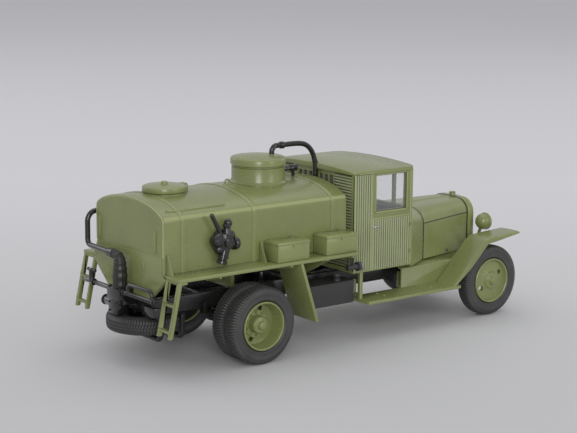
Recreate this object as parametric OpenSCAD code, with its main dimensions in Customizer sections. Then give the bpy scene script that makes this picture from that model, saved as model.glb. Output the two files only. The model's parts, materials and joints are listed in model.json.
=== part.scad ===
// Scale model of a wartime fuel tanker truck, in millimetres.
// In the vehicle frame the rear axle is at x = 0, +x is forward, +y is the left side and +z is up.

/* [Wheels and axles] */
// Distance between the front and rear axles
wheelbase = 88.6; // [87:0.2:93]
// Distance between the middle planes of the front tyres
front_track = 36; // [35.4:0.1:37]
// Distance between the middles of the left and right twin tyres
rear_track = 37.6; // [37.2:0.1:38.6]
// Distance between the two tyres of a twin
twin_spacing = 5.6; // [5.2:0.1:6]
// Outside diameter of a tyre
tyre_d = 21.3; // [20.5:0.1:22]
// Width of a tyre
tyre_w = 4.6; // [4.2:0.1:4.9]
// Diameter of the rim where the tyre sits
rim_d = 13.4; // [12.8:0.1:14]
// Radius of the tyre's rounded shoulders
tyre_shoulder_r = 1.2; // [0.8:0.1:1.6]
// Diameter of the pins that the wheels turn on
axle_pin_d = 1.7; // [1.4:0.1:2]
// Radial running clearance of a wheel on its pin
pin_clearance = 0.05; // [0.03:0.01:0.1]
// Diameter of the two hand holes in each wheel disc
hand_hole_d = 1.5; // [1:0.1:1.8]
// Distance from the rear axle back to the middle of the spare wheel
spare_back = 22.3; // [22.2:0.1:23.5]

/* [Chassis] */
// Height of the frame's top above the axle centres
frame_rise = 7.85; // [7.6:0.05:8.5]
// Depth of a frame rail
rail_h = 4.2; // [3.6:0.1:4.4]
// Distance between the outer faces of the two rails
frame_w = 18.4; // [17.6:0.1:18.8]
// Width of a rail's flanges
rail_flange = 1.6; // [1.2:0.1:2]
// Thickness of the rail's sheet
rail_t = 0.5; // [0.4:0.05:0.7]
// Distance from the rear axle to the frame's rear end
frame_overhang = 26.2; // [25:0.1:27]
// Distance from the front axle to the front end of the rails
frame_horn = 4.6; // [4.4:0.1:6]
// Width of a leaf spring
spring_w = 1.5; // [1.1:0.1:1.6]
// Half length of a front leaf spring
front_spring_reach = 8; // [6:0.1:9]
// Half length of a rear leaf spring
rear_spring_reach = 11; // [9:0.2:12]
// Diameter of the two screw holes for a display base
base_screw_d = 2; // [1.6:0.1:2.4]
// Depth of the display screw holes
base_screw_depth = 4; // [3:0.5:5]

/* [Tank] */
// Distance from the rear axle to the tank's rear face
tank_overhang = 27.5; // [26.8:0.1:28]
// Length of the tank
tank_len = 62; // [61:0.1:63]
// Width of the tank
tank_w = 32.8; // [31.6:0.1:33.6]
// Height of the tank from its lowest line to its crown
tank_h = 23.9; // [22.5:0.05:26]
// Gap between the frame and the tank's lowest line
tank_clear = 2.9; // [2.5:0.1:3.6]
// Radius of the tank's crown
tank_crown_r = 45; // [38:0.5:52]
// Radius of the rounded shoulder between crown and side
tank_shoulder_r = 2; // [1.5:0.1:3]
// Width of the raised bands round the tank
band_w = 1.8; // [1:0.1:2.2]
// Height of the raised bands and strips
band_t = 0.25; // [0.15:0.05:0.35]
// Diameter of the filler dome
dome_d = 15; // [13.5:0.1:15.4]
// Height of the dome's neck above the tank's crown
dome_h = 4.9; // [4.5:0.1:6]
// Distance from the rear axle to the middle of the dome
dome_x = 15.4; // [14.4:0.1:16]
// Diameter of the rear hatch
hatch_d = 12; // [10:0.1:12.6]
// Height of the rear hatch's ring above the tank's crown
hatch_h = 1; // [0.8:0.1:1.6]
// Distance from the rear axle back to the middle of the hatch
hatch_back = 16; // [15:0.1:18]

/* [Walkways] */
// Width over both walkways
walkway_span = 47.2; // [46.6:0.1:48]
// Thickness of a walkway
walkway_t = 0.9; // [0.7:0.05:1.2]
// Height of the walkway's underside above the frame
walkway_rise = 7.5; // [7:0.1:8]
// Gap between the front end of the walkways and the cab
walkway_gap = 2.6; // [2.2:0.1:3.2]
// Length of a locker
locker_len = 11; // [9:0.1:11.4]
// Height of a locker
locker_h = 5.4; // [4.5:0.1:6.5]
// Depth of a locker
locker_d = 6; // [5:0.1:6.4]
// Diameter of the bent pipes
pipe_d = 1.5; // [1.2:0.05:1.6]
// Side of a ladder's square rail
ladder_rail = 1.1; // [0.8:0.1:1.3]
// Width over a ladder's rails
ladder_w = 6.1; // [5:0.1:6.4]

/* [Cab and bonnet] */
// Gap between the tank and the cab
cab_gap = 1.4; // [1.3:0.1:2]
// Length of the cab
cab_len = 22; // [21.2:0.1:22.6]
// Width of the cab
cab_w = 35.2; // [34.4:0.1:36]
// Height of the cab
cab_h = 28.2; // [27:0.1:30]
// Gap between frame and cab floor
cab_rise = 0.6; // [0.4:0.1:1]
// Thickness of the cab's walls
cab_t = 1.2; // [1:0.1:1.4]
// Height of the roof's upright edge
roof_edge = 0.7; // [0.5:0.1:1.2]
// Rise of the roof's arch above its edge
roof_rise = 0.9; // [0.5:0.1:1.4]
// Radius of the roof's corners, seen from above
roof_corner = 2.2; // [1.5:0.1:3]
// Overhang of the roof round the cab
roof_over = 0.4; // [0.2:0.05:0.6]
// Height of the sill line, which cowl and dashboard keep to, above the cab floor
sill_h = 17; // [16:0.1:17.6]
// Height of a door window
window_h = 10.4; // [9:0.1:10.6]
// Length of a door window
window_len = 11.4; // [10:0.1:12]
// Width of a plank of the cab's doors, sides and back
plank_pitch = 0.82; // [0.7:0.02:1.2]
// Length of a door
door_len = 14.5; // [13.8:0.1:15]
// Length of the cowl between cab and bonnet
cowl_len = 9.5; // [8:0.1:10.5]
// Width of the bonnet at the cowl
bonnet_rear_w = 24; // [22:0.1:26]
// Width of the bonnet at the radiator
bonnet_front_w = 16; // [15:0.1:16.4]
// Height of the bonnet above the frame
bonnet_h = 15.2; // [14:0.1:16.5]
// Thickness of the radiator shell
radiator_t = 2.3; // [1.9:0.1:2.6]
// Width of the radiator shell
radiator_w = 17; // [16.8:0.1:17.6]
// Width of the radiator shell's border
radiator_border = 1.5; // [1.1:0.1:2]
// Diameter of a headlight
headlight_d = 4.9; // [4.2:0.1:5.2]

/* [Fenders] */
// Width over both front fenders
fender_span = 42.8; // [42.2:0.1:43.6]
// Distance from the middle of the truck to a fender's inner edge
fender_inner = 13.6; // [13.4:0.1:14.2]
// Thickness of a fender's sheet
fender_t = 0.8; // [0.6:0.05:1]
// Height of a fender's bend above the axle centres
fender_h = 13.4; // [12.6:0.1:14]
// Distance from the front axle to the fender's front edge
fender_tip = 10; // [9:0.1:11]
// Distance from the front axle back to the fender's bend
fender_bend = 3.6; // [3:0.1:4.2]
// Distance from the front axle back to the fender's foot
fender_foot = 16.6; // [16:0.1:17.6]
// Radius of a fender's bend
fender_r = 3; // [2:0.5:6]
// Height of the running board's top above the axle centres
board_rise = 0.7; // [0.4:0.1:1]
// Thickness of a running board
board_t = 0.9; // [0.7:0.1:1.2]

/* [Hidden] */
$fn = 48;

// Colours
green = "#76834f";
black = "#1d1d1f";
dark_grey = "#3a3b3d";
rubber = "#242325";
clear_glass = "#cfd6d8";
lens_glass = "#d9dcd2";

// Heights
axle_z = tyre_d / 2;
frame_top = axle_z + frame_rise;
frame_bot = frame_top - rail_h;
walk_z = frame_top + walkway_rise;
walk_top = walk_z + walkway_t;
tank_bottom = frame_top + tank_clear;
tank_top = tank_bottom + tank_h;
cab_z = frame_top + cab_rise;
cab_in = cab_z + cab_t;
cab_top = cab_z + cab_h;
sill_z = cab_z + sill_h;
bonnet_top = frame_top + bonnet_h;
board_z = axle_z + board_rise;
fender_z = axle_z + fender_h;

// Places along the truck
front_x = wheelbase;
tank_x0 = -tank_overhang;
tank_x1 = tank_x0 + tank_len;
cab_x0 = tank_x1 + cab_gap;
cab_x1 = cab_x0 + cab_len;
walk_x0 = tank_x0 + 0.3;
walk_x1 = cab_x0 - walkway_gap;
door_x1 = cab_x1 - 0.9;
door_x0 = door_x1 - door_len;
bonnet_x0 = cab_x1 + cowl_len;
radiator_x0 = front_x + 0.8;
radiator_x1 = radiator_x0 + radiator_t;
frame_x0 = -frame_overhang;
frame_x1 = front_x + frame_horn;
foot_x = front_x - fender_foot;
bend_x = front_x - fender_bend;
tip_x = front_x + fender_tip;
board_x0 = cab_x0 + 2.6;

// Half widths
rail_y = frame_w / 2;
tank_y = tank_w / 2;
walk_y = walkway_span / 2;
cab_y = cab_w / 2;
fender_y = fender_span / 2;
front_wheel_y = front_track / 2;
rear_wheel_y = rear_track / 2;
rim_r = rim_d / 2;
pin_r = axle_pin_d / 2;
pipe_r = pipe_d / 2;

// The spare wheel lies flat under the rear end of the frame
spare_x = -spare_back;
spare_z = frame_bot - 0.8 - tyre_w / 2;

// The origin is under the middle of the truck's length
rear_reach = spare_back + tyre_d / 2;
front_reach = max(fender_tip, tyre_d / 2);
shift_x = (rear_reach - front_x - front_reach) / 2;

// Helpers

module placed() translate([shift_x, 0, 0]) children();

module block(x0, x1, y0, y1, z0, z1) translate([x0, y0, z0]) cube([x1 - x0, y1 - y0, z1 - z0]);

module both_sides() {
  children();
  mirror([0, 1, 0]) children();
}

// Extrudes a (y, z) outline from x0 to x1
module along_x(x0, x1) translate([x0, 0, 0]) rotate([90, 0, 90]) linear_extrude(x1 - x0) children();

// Extrudes an (x, z) outline from y0 to y1
module along_y(y0, y1) translate([0, y1, 0]) rotate([90, 0, 0]) linear_extrude(y1 - y0) children();

// Turns an (r, y) outline about the y axis
module about_y() rotate([-90, 0, 0]) rotate_extrude() children();

// A rod between two points
module rod(a, b, r) {
  d = b - a;
  translate(a) rotate([0, acos(d.z / norm(d)), atan2(d.y, d.x)]) cylinder(r = r, h = norm(d));
}

// Outline with a flat bottom at z0 and rounded upper corners at z1
function round_top(w, z0, z1, ry, rz, n = 8) = concat([[-w / 2, z0], [w / 2, z0]],
  [for (i = [0:n]) [w / 2 - ry + ry * cos(90 * i / n), z1 - rz + rz * sin(90 * i / n)]],
  [for (i = [n:-1:0]) [-w / 2 + ry - ry * cos(90 * i / n), z1 - rz + rz * sin(90 * i / n)]]);

// Straight loft between two (y, z) outlines with as many points
module loft(p, x0, q, x1) {
  n = len(p);
  points = concat([for (a = p) [x0, a.x, a.y]], [for (a = q) [x1, a.x, a.y]]);
  walls = [for (k = [0:n - 1]) let (m = (k + 1) % n) each [[k, n + k, m], [m, n + k, n + m]]];
  ends = [[for (k = [0:n - 1]) k], [for (k = [n - 1:-1:0]) n + k]];
  polyhedron(points = points, faces = concat(walls, ends), convexity = 4);
}

// Round tube swept along a list of points
function unit(v) = v / norm(v);
function tangent(p, i) = unit(p[min(i + 1, len(p) - 1)] - p[max(i - 1, 0)]);
function side_of(t) = unit(cross(t, abs(t.z) < 0.9 ? [0, 0, 1] : [1, 0, 0]));
function turned(s, t) = unit(s - t * (s * t));
function sides(p, i) = i == 0 ? side_of(tangent(p, 0)) : turned(sides(p, i - 1), tangent(p, i));
module tube(p, r, n = 14) {
  last = len(p) - 1;
  rings = [for (i = [0:last]) let (t = tangent(p, i), s = sides(p, i), u = cross(t, s))
    for (k = [0:n - 1]) p[i] + r * (cos(360 * k / n) * s + sin(360 * k / n) * u)];
  walls = [for (i = [0:last - 1]) for (k = [0:n - 1]) let (m = (k + 1) % n, a = i * n, b = a + n)
    each [[a + k, b + k, a + m], [a + m, b + k, b + m]]];
  ends = [[for (k = [0:n - 1]) k], [for (k = [n - 1:-1:0]) last * n + k]];
  polyhedron(points = rings, faces = concat(walls, ends), convexity = 6);
}

// Points of a bent pipe: each inner corner becomes an arc, with radii from the list r
function bend(a, b, c, r, n = 5) = let (u = unit(a - b), v = unit(c - b), half = acos(u * v) / 2,
  centre = b + unit(u + v) * (r / sin(half)), p = unit(b + u * (r / tan(half)) - centre),
  q = unit(b + v * (r / tan(half)) - centre), whole = acos(p * q))
  [for (i = [0:n]) centre + r * (sin((1 - i / n) * whole) * p + sin(i / n * whole) * q) / sin(whole)];
function bent(p, r) = concat([p[0]], [for (i = [1:len(p) - 2]) each bend(p[i - 1], p[i], p[i + 1], r[i - 1])],
  [p[len(p) - 1]]);

// Chassis

module rail() difference() {
  block(frame_x0, frame_x1, rail_y - rail_flange, rail_y, frame_bot, frame_top);
  block(frame_x0 - 1, frame_x1 + 1, rail_y - rail_flange - 1, rail_y - rail_t,
    frame_bot + rail_t, frame_top - rail_t);
}

// Crossmembers, and the two bosses that take the screws of a display base
cross_t = 1.4;
cross_at = [frame_x0 + cross_t / 2, -10, 20, 44, frame_x1 - cross_t / 2];
cross_in = 0.2;
boss_at = [[20, 4.4], [44, -4.4]];
boss_drop = 1;
boss_wall = 1;
cab_pad = 2;

module chassis_frame() color(black) difference() {
  union() {
    both_sides() rail();
    for (x = cross_at) block(x - cross_t / 2, x + cross_t / 2, cross_in - rail_y, rail_y - cross_in,
      frame_bot + cross_in, frame_top - cross_in);
    for (b = boss_at) translate([b.x, b.y, frame_bot - boss_drop])
      cylinder(r = base_screw_d / 2 + boss_wall, h = rail_h + boss_drop - cross_in);
    both_sides() for (x = [cab_x0 + cab_pad, cab_x1 - 2 * cab_pad])
      block(x, x + cab_pad, rail_y - rail_flange, rail_y, frame_top - rail_t / 2, cab_z);
  }
  for (b = boss_at) translate([b.x, b.y, frame_bot - boss_drop - 1])
    cylinder(d = base_screw_d, h = base_screw_depth + 1);
}

// Reach of a hub inwards and of a pin outwards from the tyre's middle plane
hub_in = tyre_w / 2 + 0.6;
hub_gap = 0.2;
pin_out = 1;
pin_root = 0.5;
beam_drop = 1.4;
beam_h = 1.6;
beam_x = 0.9;
knuckle_h = 1.2;
knuckle_w = 1.4;
knuckle_y = front_wheel_y - hub_in - hub_gap;

// Right half of the front axle beam's (y, z) outline, from the lower middle to the upper middle
beam_half = [[rail_y, -beam_drop - beam_h], [knuckle_y, -knuckle_h], [knuckle_y, knuckle_h],
  [knuckle_y - knuckle_w, knuckle_h], [rail_y + 0.3, -beam_drop]];

module front_axle() color(black) translate([front_x, 0, axle_z]) {
  along_x(-beam_x, beam_x)
    polygon(concat(beam_half, [for (i = [len(beam_half) - 1:-1:0]) [-beam_half[i].x, beam_half[i].y]]));
  both_sides() translate([0, knuckle_y - pin_root, 0]) rotate([-90, 0, 0])
    cylinder(r = pin_r, h = front_wheel_y + pin_out - knuckle_y + pin_root);
}

axle_tube_r = 1.3;
axle_tube_y = rear_wheel_y - twin_spacing / 2 - hub_in - hub_gap;
rear_pin_y = rear_wheel_y + twin_spacing / 2 - pin_out;
diff_r = 3.2;
diff_nose = 5.5;
diff_nose_r = 1.5;

module rear_axle() color(black) translate([0, 0, axle_z]) {
  translate([0, -axle_tube_y, 0]) rotate([-90, 0, 0]) cylinder(r = axle_tube_r, h = 2 * axle_tube_y);
  sphere(r = diff_r);
  rotate([0, 90, 0]) cylinder(r = diff_nose_r, h = diff_nose);
  both_sides() translate([0, axle_tube_y - pin_root, 0]) rotate([-90, 0, 0])
    cylinder(r = pin_r, h = rear_pin_y - axle_tube_y + pin_root);
}

// Leaf pack: thick in the middle, bowed up to its two ends
function bow(x, reach, low, high) = low + (high - low) * pow(x / reach, 2);
function leaf(reach, low, high, t, n = 8) = concat(
  [for (i = [-n:n]) let (x = reach * i / n) [x, bow(x, reach, low, high)]],
  [for (i = [n:-1:-n]) let (x = reach * i / n) [x, bow(x, reach, low, high) + t * (1 - 0.6 * abs(i) / n)]]);

front_spring_t = 1.6;
front_spring_y0 = rail_y - rail_flange / 2 - spring_w / 2;
front_spring_y1 = front_spring_y0 + spring_w;
rear_spring_t = 1.8;
rear_spring_y0 = rail_y + 0.7;
rear_spring_y1 = rear_spring_y0 + spring_w;
hanger = 0.6;

module leaf_springs() color(black) both_sides() {
  translate([front_x, 0, 0]) {
    along_y(front_spring_y0, front_spring_y1)
      polygon(leaf(front_spring_reach, axle_z - beam_drop, frame_bot - front_spring_t, front_spring_t));
    for (x = [hanger - front_spring_reach, front_spring_reach - hanger])
      block(x - hanger, x + hanger, front_spring_y0, front_spring_y1, frame_bot - 2.2, frame_bot);
    block(frame_horn - 1, front_spring_reach + 0.2, front_spring_y0, front_spring_y1,
      frame_bot - 1.2, frame_bot);
  }
  along_y(rear_spring_y0, rear_spring_y1)
    polygon(leaf(rear_spring_reach, axle_z + axle_tube_r, frame_bot - 0.6, rear_spring_t));
  for (x = [hanger - rear_spring_reach, rear_spring_reach - hanger])
    block(x - hanger, x + hanger, rail_y, rear_spring_y1, frame_bot - 1.2, frame_bot + 1.8);
}

gear_x0 = cab_x0 + 14;
gear_x1 = cab_x1 + 5;
gear_z = frame_bot - 0.4;
gear_r = 3;
sump_x1 = front_x - 2.4;
sump_y = 4.6;
shaft_r = 0.8;
shaft_gap = 0.1;

module drive_shaft() color(black)
  rod([diff_nose + shaft_gap, 0, axle_z], [gear_x0 - shaft_gap, 0, gear_z], shaft_r);

module engine_underside() color(black) {
  translate([gear_x0, 0, gear_z]) rotate([0, 90, 0]) cylinder(r = gear_r, h = gear_x1 - gear_x0 + 0.5);
  block(gear_x1, sump_x1, -sump_y, sump_y, frame_bot - 3.6, frame_top);
}

side_box_len = 15.8;
side_box_y = 17;
side_box_z0 = frame_bot - 3.6;
side_box_z1 = frame_bot + 2.8;
side_box_x1 = board_x0 - 1.6;
filler_at = [side_box_x1 - 4.5, -14.5];

module side_box() color(dark_grey) {
  block(side_box_x1 - side_box_len, side_box_x1, -side_box_y, -rail_y, side_box_z0, side_box_z1);
  translate([filler_at.x, filler_at.y, side_box_z1 - 0.2]) cylinder(r = 1.1, h = 1.6);
  translate([filler_at.x, filler_at.y, side_box_z1 + 1.2]) cylinder(r = 1.4, h = 0.7);
}

muffler_y = rail_y + 3.4;
muffler_r = 1.9;
muffler_x0 = 22;
muffler_x1 = 35;
exhaust_r = 0.7;
exhaust_z = frame_bot - 0.4;
manifold_x = gear_x1 + 4;

module exhaust() color(black) {
  rod([muffler_x0, muffler_y, exhaust_z], [muffler_x1, muffler_y, exhaust_z], muffler_r);
  rod([muffler_x0 - 2.6, muffler_y, exhaust_z], [muffler_x0 + 0.4, muffler_y, exhaust_z], exhaust_r);
  rod([muffler_x1 - 0.3, muffler_y, exhaust_z], [manifold_x, rail_y - 3, exhaust_z - 0.8], exhaust_r);
  for (x = [muffler_x0 + 2, muffler_x1 - 3])
    block(x, x + 1, rail_y, muffler_y, exhaust_z + 0.2, exhaust_z + 1.4);
  block(manifold_x - 1, manifold_x + 1, sump_y, rail_y - 2.4, exhaust_z - 1.4, exhaust_z - 0.2);
}

// Cab

window_x0 = door_x0 + (door_len - window_len) / 2;
window_x1 = window_x0 + window_len;
window_head = 0.8;
window_z1 = cab_top - window_head;
window_z0 = window_z1 - window_h;
groove_w = 0.16;
groove_d = 0.15;
belt_h = 2.2;
screen_y = cab_y - 1.8;
post_y = 10;
post_w = 0.9;
screen_spans = [[-screen_y, -post_y - post_w / 2], [post_w / 2 - post_y, post_y - post_w / 2],
  [post_y + post_w / 2, screen_y]];
rear_window_y = 8.1;
rear_window_z0 = cab_top - 6.6;
rear_window_z1 = cab_top - 1.4;
back_recess = 0.4;
back_x0 = cab_x0 + back_recess;
door_seam = 0.1;

module cab_floor() color(green) block(cab_x0, cab_x1, -cab_y, cab_y, cab_z, cab_in);

module cab_back() color(green) difference() {
  block(back_x0, back_x0 + cab_t, cab_t - cab_y, cab_y - cab_t, cab_in, cab_top);
  block(cab_x0 - 1, cab_x0 + 4, -rear_window_y, rear_window_y, rear_window_z0, rear_window_z1);
  for (z = [cab_in + plank_pitch:plank_pitch:cab_top - plank_pitch])
    block(back_x0 - 1, back_x0 + groove_d, cab_t - cab_y, cab_y - cab_t, z, z + groove_w);
}

module cab_quarters() color(green) both_sides() difference() {
  block(cab_x0, door_x0 - door_seam, cab_y - cab_t, cab_y, cab_in, cab_top);
  for (x = [cab_x0 + plank_pitch:plank_pitch:door_x0 - plank_pitch / 2])
    block(x, x + groove_w, cab_y - groove_d, cab_y + 1, cab_in + 0.6, cab_top - 0.6);
}

module cab_doors() color(green) both_sides() difference() {
  block(door_x0, door_x1 - door_seam, cab_y - cab_t, cab_y, cab_in, cab_top);
  block(window_x0, window_x1, cab_y - cab_t - 1, cab_y + 1, window_z0, window_z1);
  for (x = [door_x0 + plank_pitch:plank_pitch:door_x1 - plank_pitch / 2])
    block(x, x + groove_w, cab_y - groove_d, cab_y + 1, cab_in + 0.6, window_z0 - belt_h);
}

module cab_front() color(green) difference() {
  block(door_x1, cab_x1, -cab_y, cab_y, cab_in, cab_top);
  for (s = screen_spans) block(door_x1 - 1, cab_x1 + 1, s[0], s[1], window_z0, window_z1);
}

roof_y = cab_y + roof_over;
roof_z = cab_top + roof_edge;
roof_arch = [for (i = [8:-1:-8]) let (y = i / 8 * (roof_y + 1))
  [y, roof_z + roof_rise * (1 - pow(y / roof_y, 2))]];

roof_x0 = cab_x0 - 2 * roof_over;
roof_x1 = cab_x1 + 2 * roof_over;

module roof_plan() {
  translate([roof_x0 + roof_corner, -roof_y]) square([roof_x1 - roof_x0 - 2 * roof_corner, 2 * roof_y]);
  translate([roof_x0, roof_corner - roof_y]) square([roof_x1 - roof_x0, 2 * (roof_y - roof_corner)]);
  for (x = [roof_x0 + roof_corner, roof_x1 - roof_corner]) for (s = [-1, 1])
    translate([x, s * (roof_y - roof_corner)]) circle(r = roof_corner);
}

module cab_roof() color(green) difference() {
  intersection() {
    along_x(roof_x0 - 1, roof_x1 + 1)
      polygon(concat([[-roof_y - 1, cab_top], [roof_y + 1, cab_top]], roof_arch));
    translate([0, 0, cab_top - 1]) linear_extrude(roof_edge + roof_rise + 3) roof_plan();
  }
  translate([vent_x1, vent_y, cab_top - 1]) cylinder(r = pipe_r + 0.15, h = roof_edge + roof_rise + 2);
}

glass_t = 0.5;

module cab_glass() color(clear_glass, 0.4) {
  both_sides() block(window_x0, window_x1, cab_y - (cab_t + glass_t) / 2, cab_y - (cab_t - glass_t) / 2,
    window_z0, window_z1);
  for (s = screen_spans)
    block(cab_x1 - 0.2 - glass_t, cab_x1 - 0.2, s[0], s[1], window_z0, window_z1);
  block(back_x0 + 0.4, back_x0 + 0.4 + glass_t, -rear_window_y, rear_window_y,
    rear_window_z0, rear_window_z1);
}

seat_x0 = back_x0 + cab_t;
seat_y = cab_y - cab_t - 0.6;
seat_len = 9;
seat_h = 8.4;
seat_back_t = 2.4;
seat_back_h = 17;

module seat() color(black) {
  block(seat_x0, seat_x0 + seat_len, -seat_y, seat_y, cab_in, cab_in + seat_h);
  block(seat_x0, seat_x0 + seat_back_t, -seat_y, seat_y, cab_in + seat_h - 0.2, cab_in + seat_back_h);
}

dash_x0 = door_x1 - 2.2;
dash_y = cab_y - cab_t - 0.4;

module dashboard() color(black) block(dash_x0, door_x1, -dash_y, dash_y, sill_z - 5, sill_z - 0.6);

wheel_at = [door_x1 - 5.4, 8, sill_z + 1.6];
wheel_tilt = -52;
wheel_r = 4;
spoke_t = 0.5;
column_gap = 0.4;

module steering_wheel() color(black) {
  translate(wheel_at) rotate([0, wheel_tilt, 0]) {
    rotate_extrude() translate([wheel_r, 0]) circle(r = 0.4, $fn = 24);
    for (a = [0, 90]) rotate([0, 0, a]) cube([2 * wheel_r, spoke_t, spoke_t], center = true);
    cylinder(r = 0.9, h = 0.8, center = true);
  }
  rod(wheel_at, [dash_x0 - column_gap, wheel_at.y, sill_z - 1.2], 0.45);
}

// Cowl, bonnet and radiator: corner radii are [across, up]
cowl_top = sill_z - 0.4;
cowl_corner = [6.5, 5.2];
bonnet_rear_corner = [5.5, 4.5];
bonnet_front_corner = [4.4, 4.2];
radiator_corner = [4.6, 4.4];

cowl_outline = round_top(cab_w, frame_top, cowl_top, cowl_corner.x, cowl_corner.y);
bonnet_outline = round_top(bonnet_rear_w, frame_top, bonnet_top, bonnet_rear_corner.x, bonnet_rear_corner.y);
nose_outline = round_top(bonnet_front_w, frame_top, bonnet_top - 0.2,
  bonnet_front_corner.x, bonnet_front_corner.y);

module cowl() color(green) loft(cowl_outline, cab_x1, bonnet_outline, bonnet_x0);

module bonnet() color(green) loft(bonnet_outline, bonnet_x0, nose_outline, radiator_x0);

radiator_z = bonnet_top + 0.1;
radiator_low = frame_bot + 1.2;
radiator_neck = rail_y - rail_flange - 0.2;
core_x0 = radiator_x1 - 1.1;
core_w = radiator_w - 2 * radiator_border;
core_z0 = frame_top + 0.6;
core_z1 = radiator_z - radiator_border;
core_corner = radiator_corner - [radiator_border, radiator_border];
core_outline = round_top(core_w, core_z0, core_z1, core_corner.x, core_corner.y);
fin_pitch = 1;

module radiator_shell() color(green) difference() {
  union() {
    along_x(radiator_x0, radiator_x1)
      polygon(round_top(radiator_w, frame_top, radiator_z, radiator_corner.x, radiator_corner.y));
    block(radiator_x0, radiator_x1, -radiator_neck, radiator_neck, radiator_low, frame_top + 1);
    translate([radiator_x0 + radiator_t / 2, 0, radiator_z - 0.5]) cylinder(r = 0.95, h = 1.5);
  }
  along_x(core_x0, radiator_x1 + 1) polygon(core_outline);
}

module radiator_core() color(black) {
  along_x(core_x0, core_x0 + 0.4) polygon(core_outline);
  for (y = [fin_pitch / 2:fin_pitch:core_w / 2 - fin_pitch / 2]) both_sides()
    block(core_x0 + 0.2, core_x0 + 0.8, y - 0.15, y + 0.15, core_z0, core_z1 - 3 * pow(y / core_w * 2, 4));
}

// Front fenders and running boards

stay_x = front_x + 2.8;
stay_t = 0.8;
fender_rise = 0.7;
lip_t = 0.4;
lip_h = 0.9;

// (x, z) outline of the bent fender sheet, d deep and thinner at its front edge
edge_t = 0.45;
function fender_outline(d) = concat(
  bent([[foot_x, board_z], [bend_x, fender_z], [tip_x, fender_z + fender_rise]], [fender_r]),
  bent([[tip_x, fender_z + fender_rise - edge_t], [bend_x + d * 0.42, fender_z - d],
    [foot_x + d * 1.42, board_z]], [fender_r - d]));

module fenders() color(green) both_sides() {
  along_y(fender_inner, fender_y) polygon(fender_outline(fender_t));
  along_y(fender_y - lip_t, fender_y) polygon(fender_outline(fender_t + lip_h));
  along_x(stay_x, stay_x + stay_t) polygon([[rail_y, frame_top - 2.4], [fender_inner + 1.8, fender_z - 0.2],
    [fender_inner - 0.4, fender_z - 0.2], [rail_y, frame_top - 0.6]]);
}

apron_y = fender_inner - 0.7;
apron_t = 0.6;
apron_z = frame_bot + 2.8;
apron_x1 = foot_x + apron_z - board_z;
board_x1 = foot_x + (fender_t + lip_h) * 1.42;
shelf_x1 = bend_x - 0.5;
shelf_z1 = fender_z - (bend_x - shelf_x1) - 0.45;
strut_w = 1.1;
board_arm = 1.2;

module running_boards() color(green) both_sides() {
  block(board_x0, board_x1, apron_y, fender_y + 0.2, board_z - board_t, board_z);
  along_y(apron_y, apron_y + apron_t) polygon([[cab_x1, board_z - 0.1], [foot_x + 0.8, board_z - 0.1],
    [apron_x1 + 0.8, apron_z], [cab_x1, apron_z]]);
  along_y(apron_y, apron_y + apron_t) polygon([[apron_x1, apron_z - 0.3], [shelf_x1, apron_z - 0.3],
    [shelf_x1, shelf_z1]]);
  along_x(cab_x1, shelf_x1) polygon([[rail_y, frame_top - 0.8], [apron_y + apron_t, apron_z - apron_t],
    [apron_y + apron_t, apron_z], [rail_y, frame_top - 0.1]]);
  block(board_x0 + 0.2, board_x0 + 0.2 + strut_w, cab_y - 0.2 - strut_w, cab_y - 0.2, board_z - 0.1, cab_z);
  for (x = [board_x0 + 4, cab_x1 + 2]) {
    block(x, x + board_arm, rail_y, apron_y + 1, board_z - board_t, board_z);
    block(x, x + board_arm, rail_y, rail_y + 0.8, board_z - board_t, frame_bot + 1);
  }
}

headlight_x = front_x + 4.7;
headlight_y = 11;
headlight_z = axle_z + 16.2;
headlight_r = headlight_d / 2;
bowl_rim = 0.9;
foot_x0 = radiator_x1 + 0.1;
lens_r = headlight_r - 0.15;
bowl = [for (i = [1:8]) headlight_r * [sin(90 * i / 8), -cos(90 * i / 8)]];

module headlight_bodies() color(green) both_sides() {
  translate([headlight_x, headlight_y, headlight_z]) rotate([0, 90, 0]) rotate_extrude()
    polygon(concat([[0, bowl_rim], [0, -headlight_r]], bowl, [[headlight_r, bowl_rim]]));
  rod([headlight_x - 0.9, headlight_y, headlight_z - headlight_r + 0.9],
    [foot_x0 + 0.7, rail_y - rail_flange / 2, frame_top + 0.3], 0.5);
  block(foot_x0, frame_x1 - 0.2, rail_y - rail_flange, rail_y, frame_top, frame_top + 0.5);
}

module headlight_lenses() color(lens_glass) both_sides()
  translate([headlight_x + bowl_rim, headlight_y, headlight_z]) rotate([0, 90, 0]) rotate_extrude()
    polygon([[0, 0], [lens_r, 0], [lens_r, 0.25], [headlight_r * 0.6, 0.55], [0, 0.7]]);

// Tank

belly_rise = walk_z - tank_bottom;
belly_r = (pow(tank_y, 2) + pow(belly_rise, 2)) / (2 * belly_rise);

// Outline of the tank, grown by g on every side
module tank_section(g = 0) {
  y = tank_y + g;
  crown_z = tank_top + g - tank_crown_r;
  shoulder_y = y - tank_shoulder_r;
  shoulder_z = crown_z + sqrt(pow(tank_crown_r - tank_shoulder_r, 2) - pow(shoulder_y, 2));
  out = 1.1 * tank_crown_r / (tank_crown_r - tank_shoulder_r);
  out_z = crown_z + (shoulder_z - crown_z) * out;
  intersection() {
    translate([0, tank_bottom + belly_r]) circle(r = belly_r + g, $fn = 200);
    union() {
      translate([-y, tank_bottom - 1]) square([2 * y, shoulder_z - tank_bottom + 1]);
      intersection() {
        translate([0, crown_z]) circle(r = tank_crown_r, $fn = 200);
        polygon([[0, shoulder_z - 6], [shoulder_y, shoulder_z], [shoulder_y * out, out_z], [0, out_z + 10],
          [-shoulder_y * out, out_z], [-shoulder_y, shoulder_z]]);
      }
      for (s = [-1, 1]) translate([s * shoulder_y, shoulder_z]) circle(r = tank_shoulder_r);
    }
  }
}

// Middles of the raised bands along the tank
band_at = [tank_x0 + 5.6, tank_x0 + 28.8, tank_x1 - 6];

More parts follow.
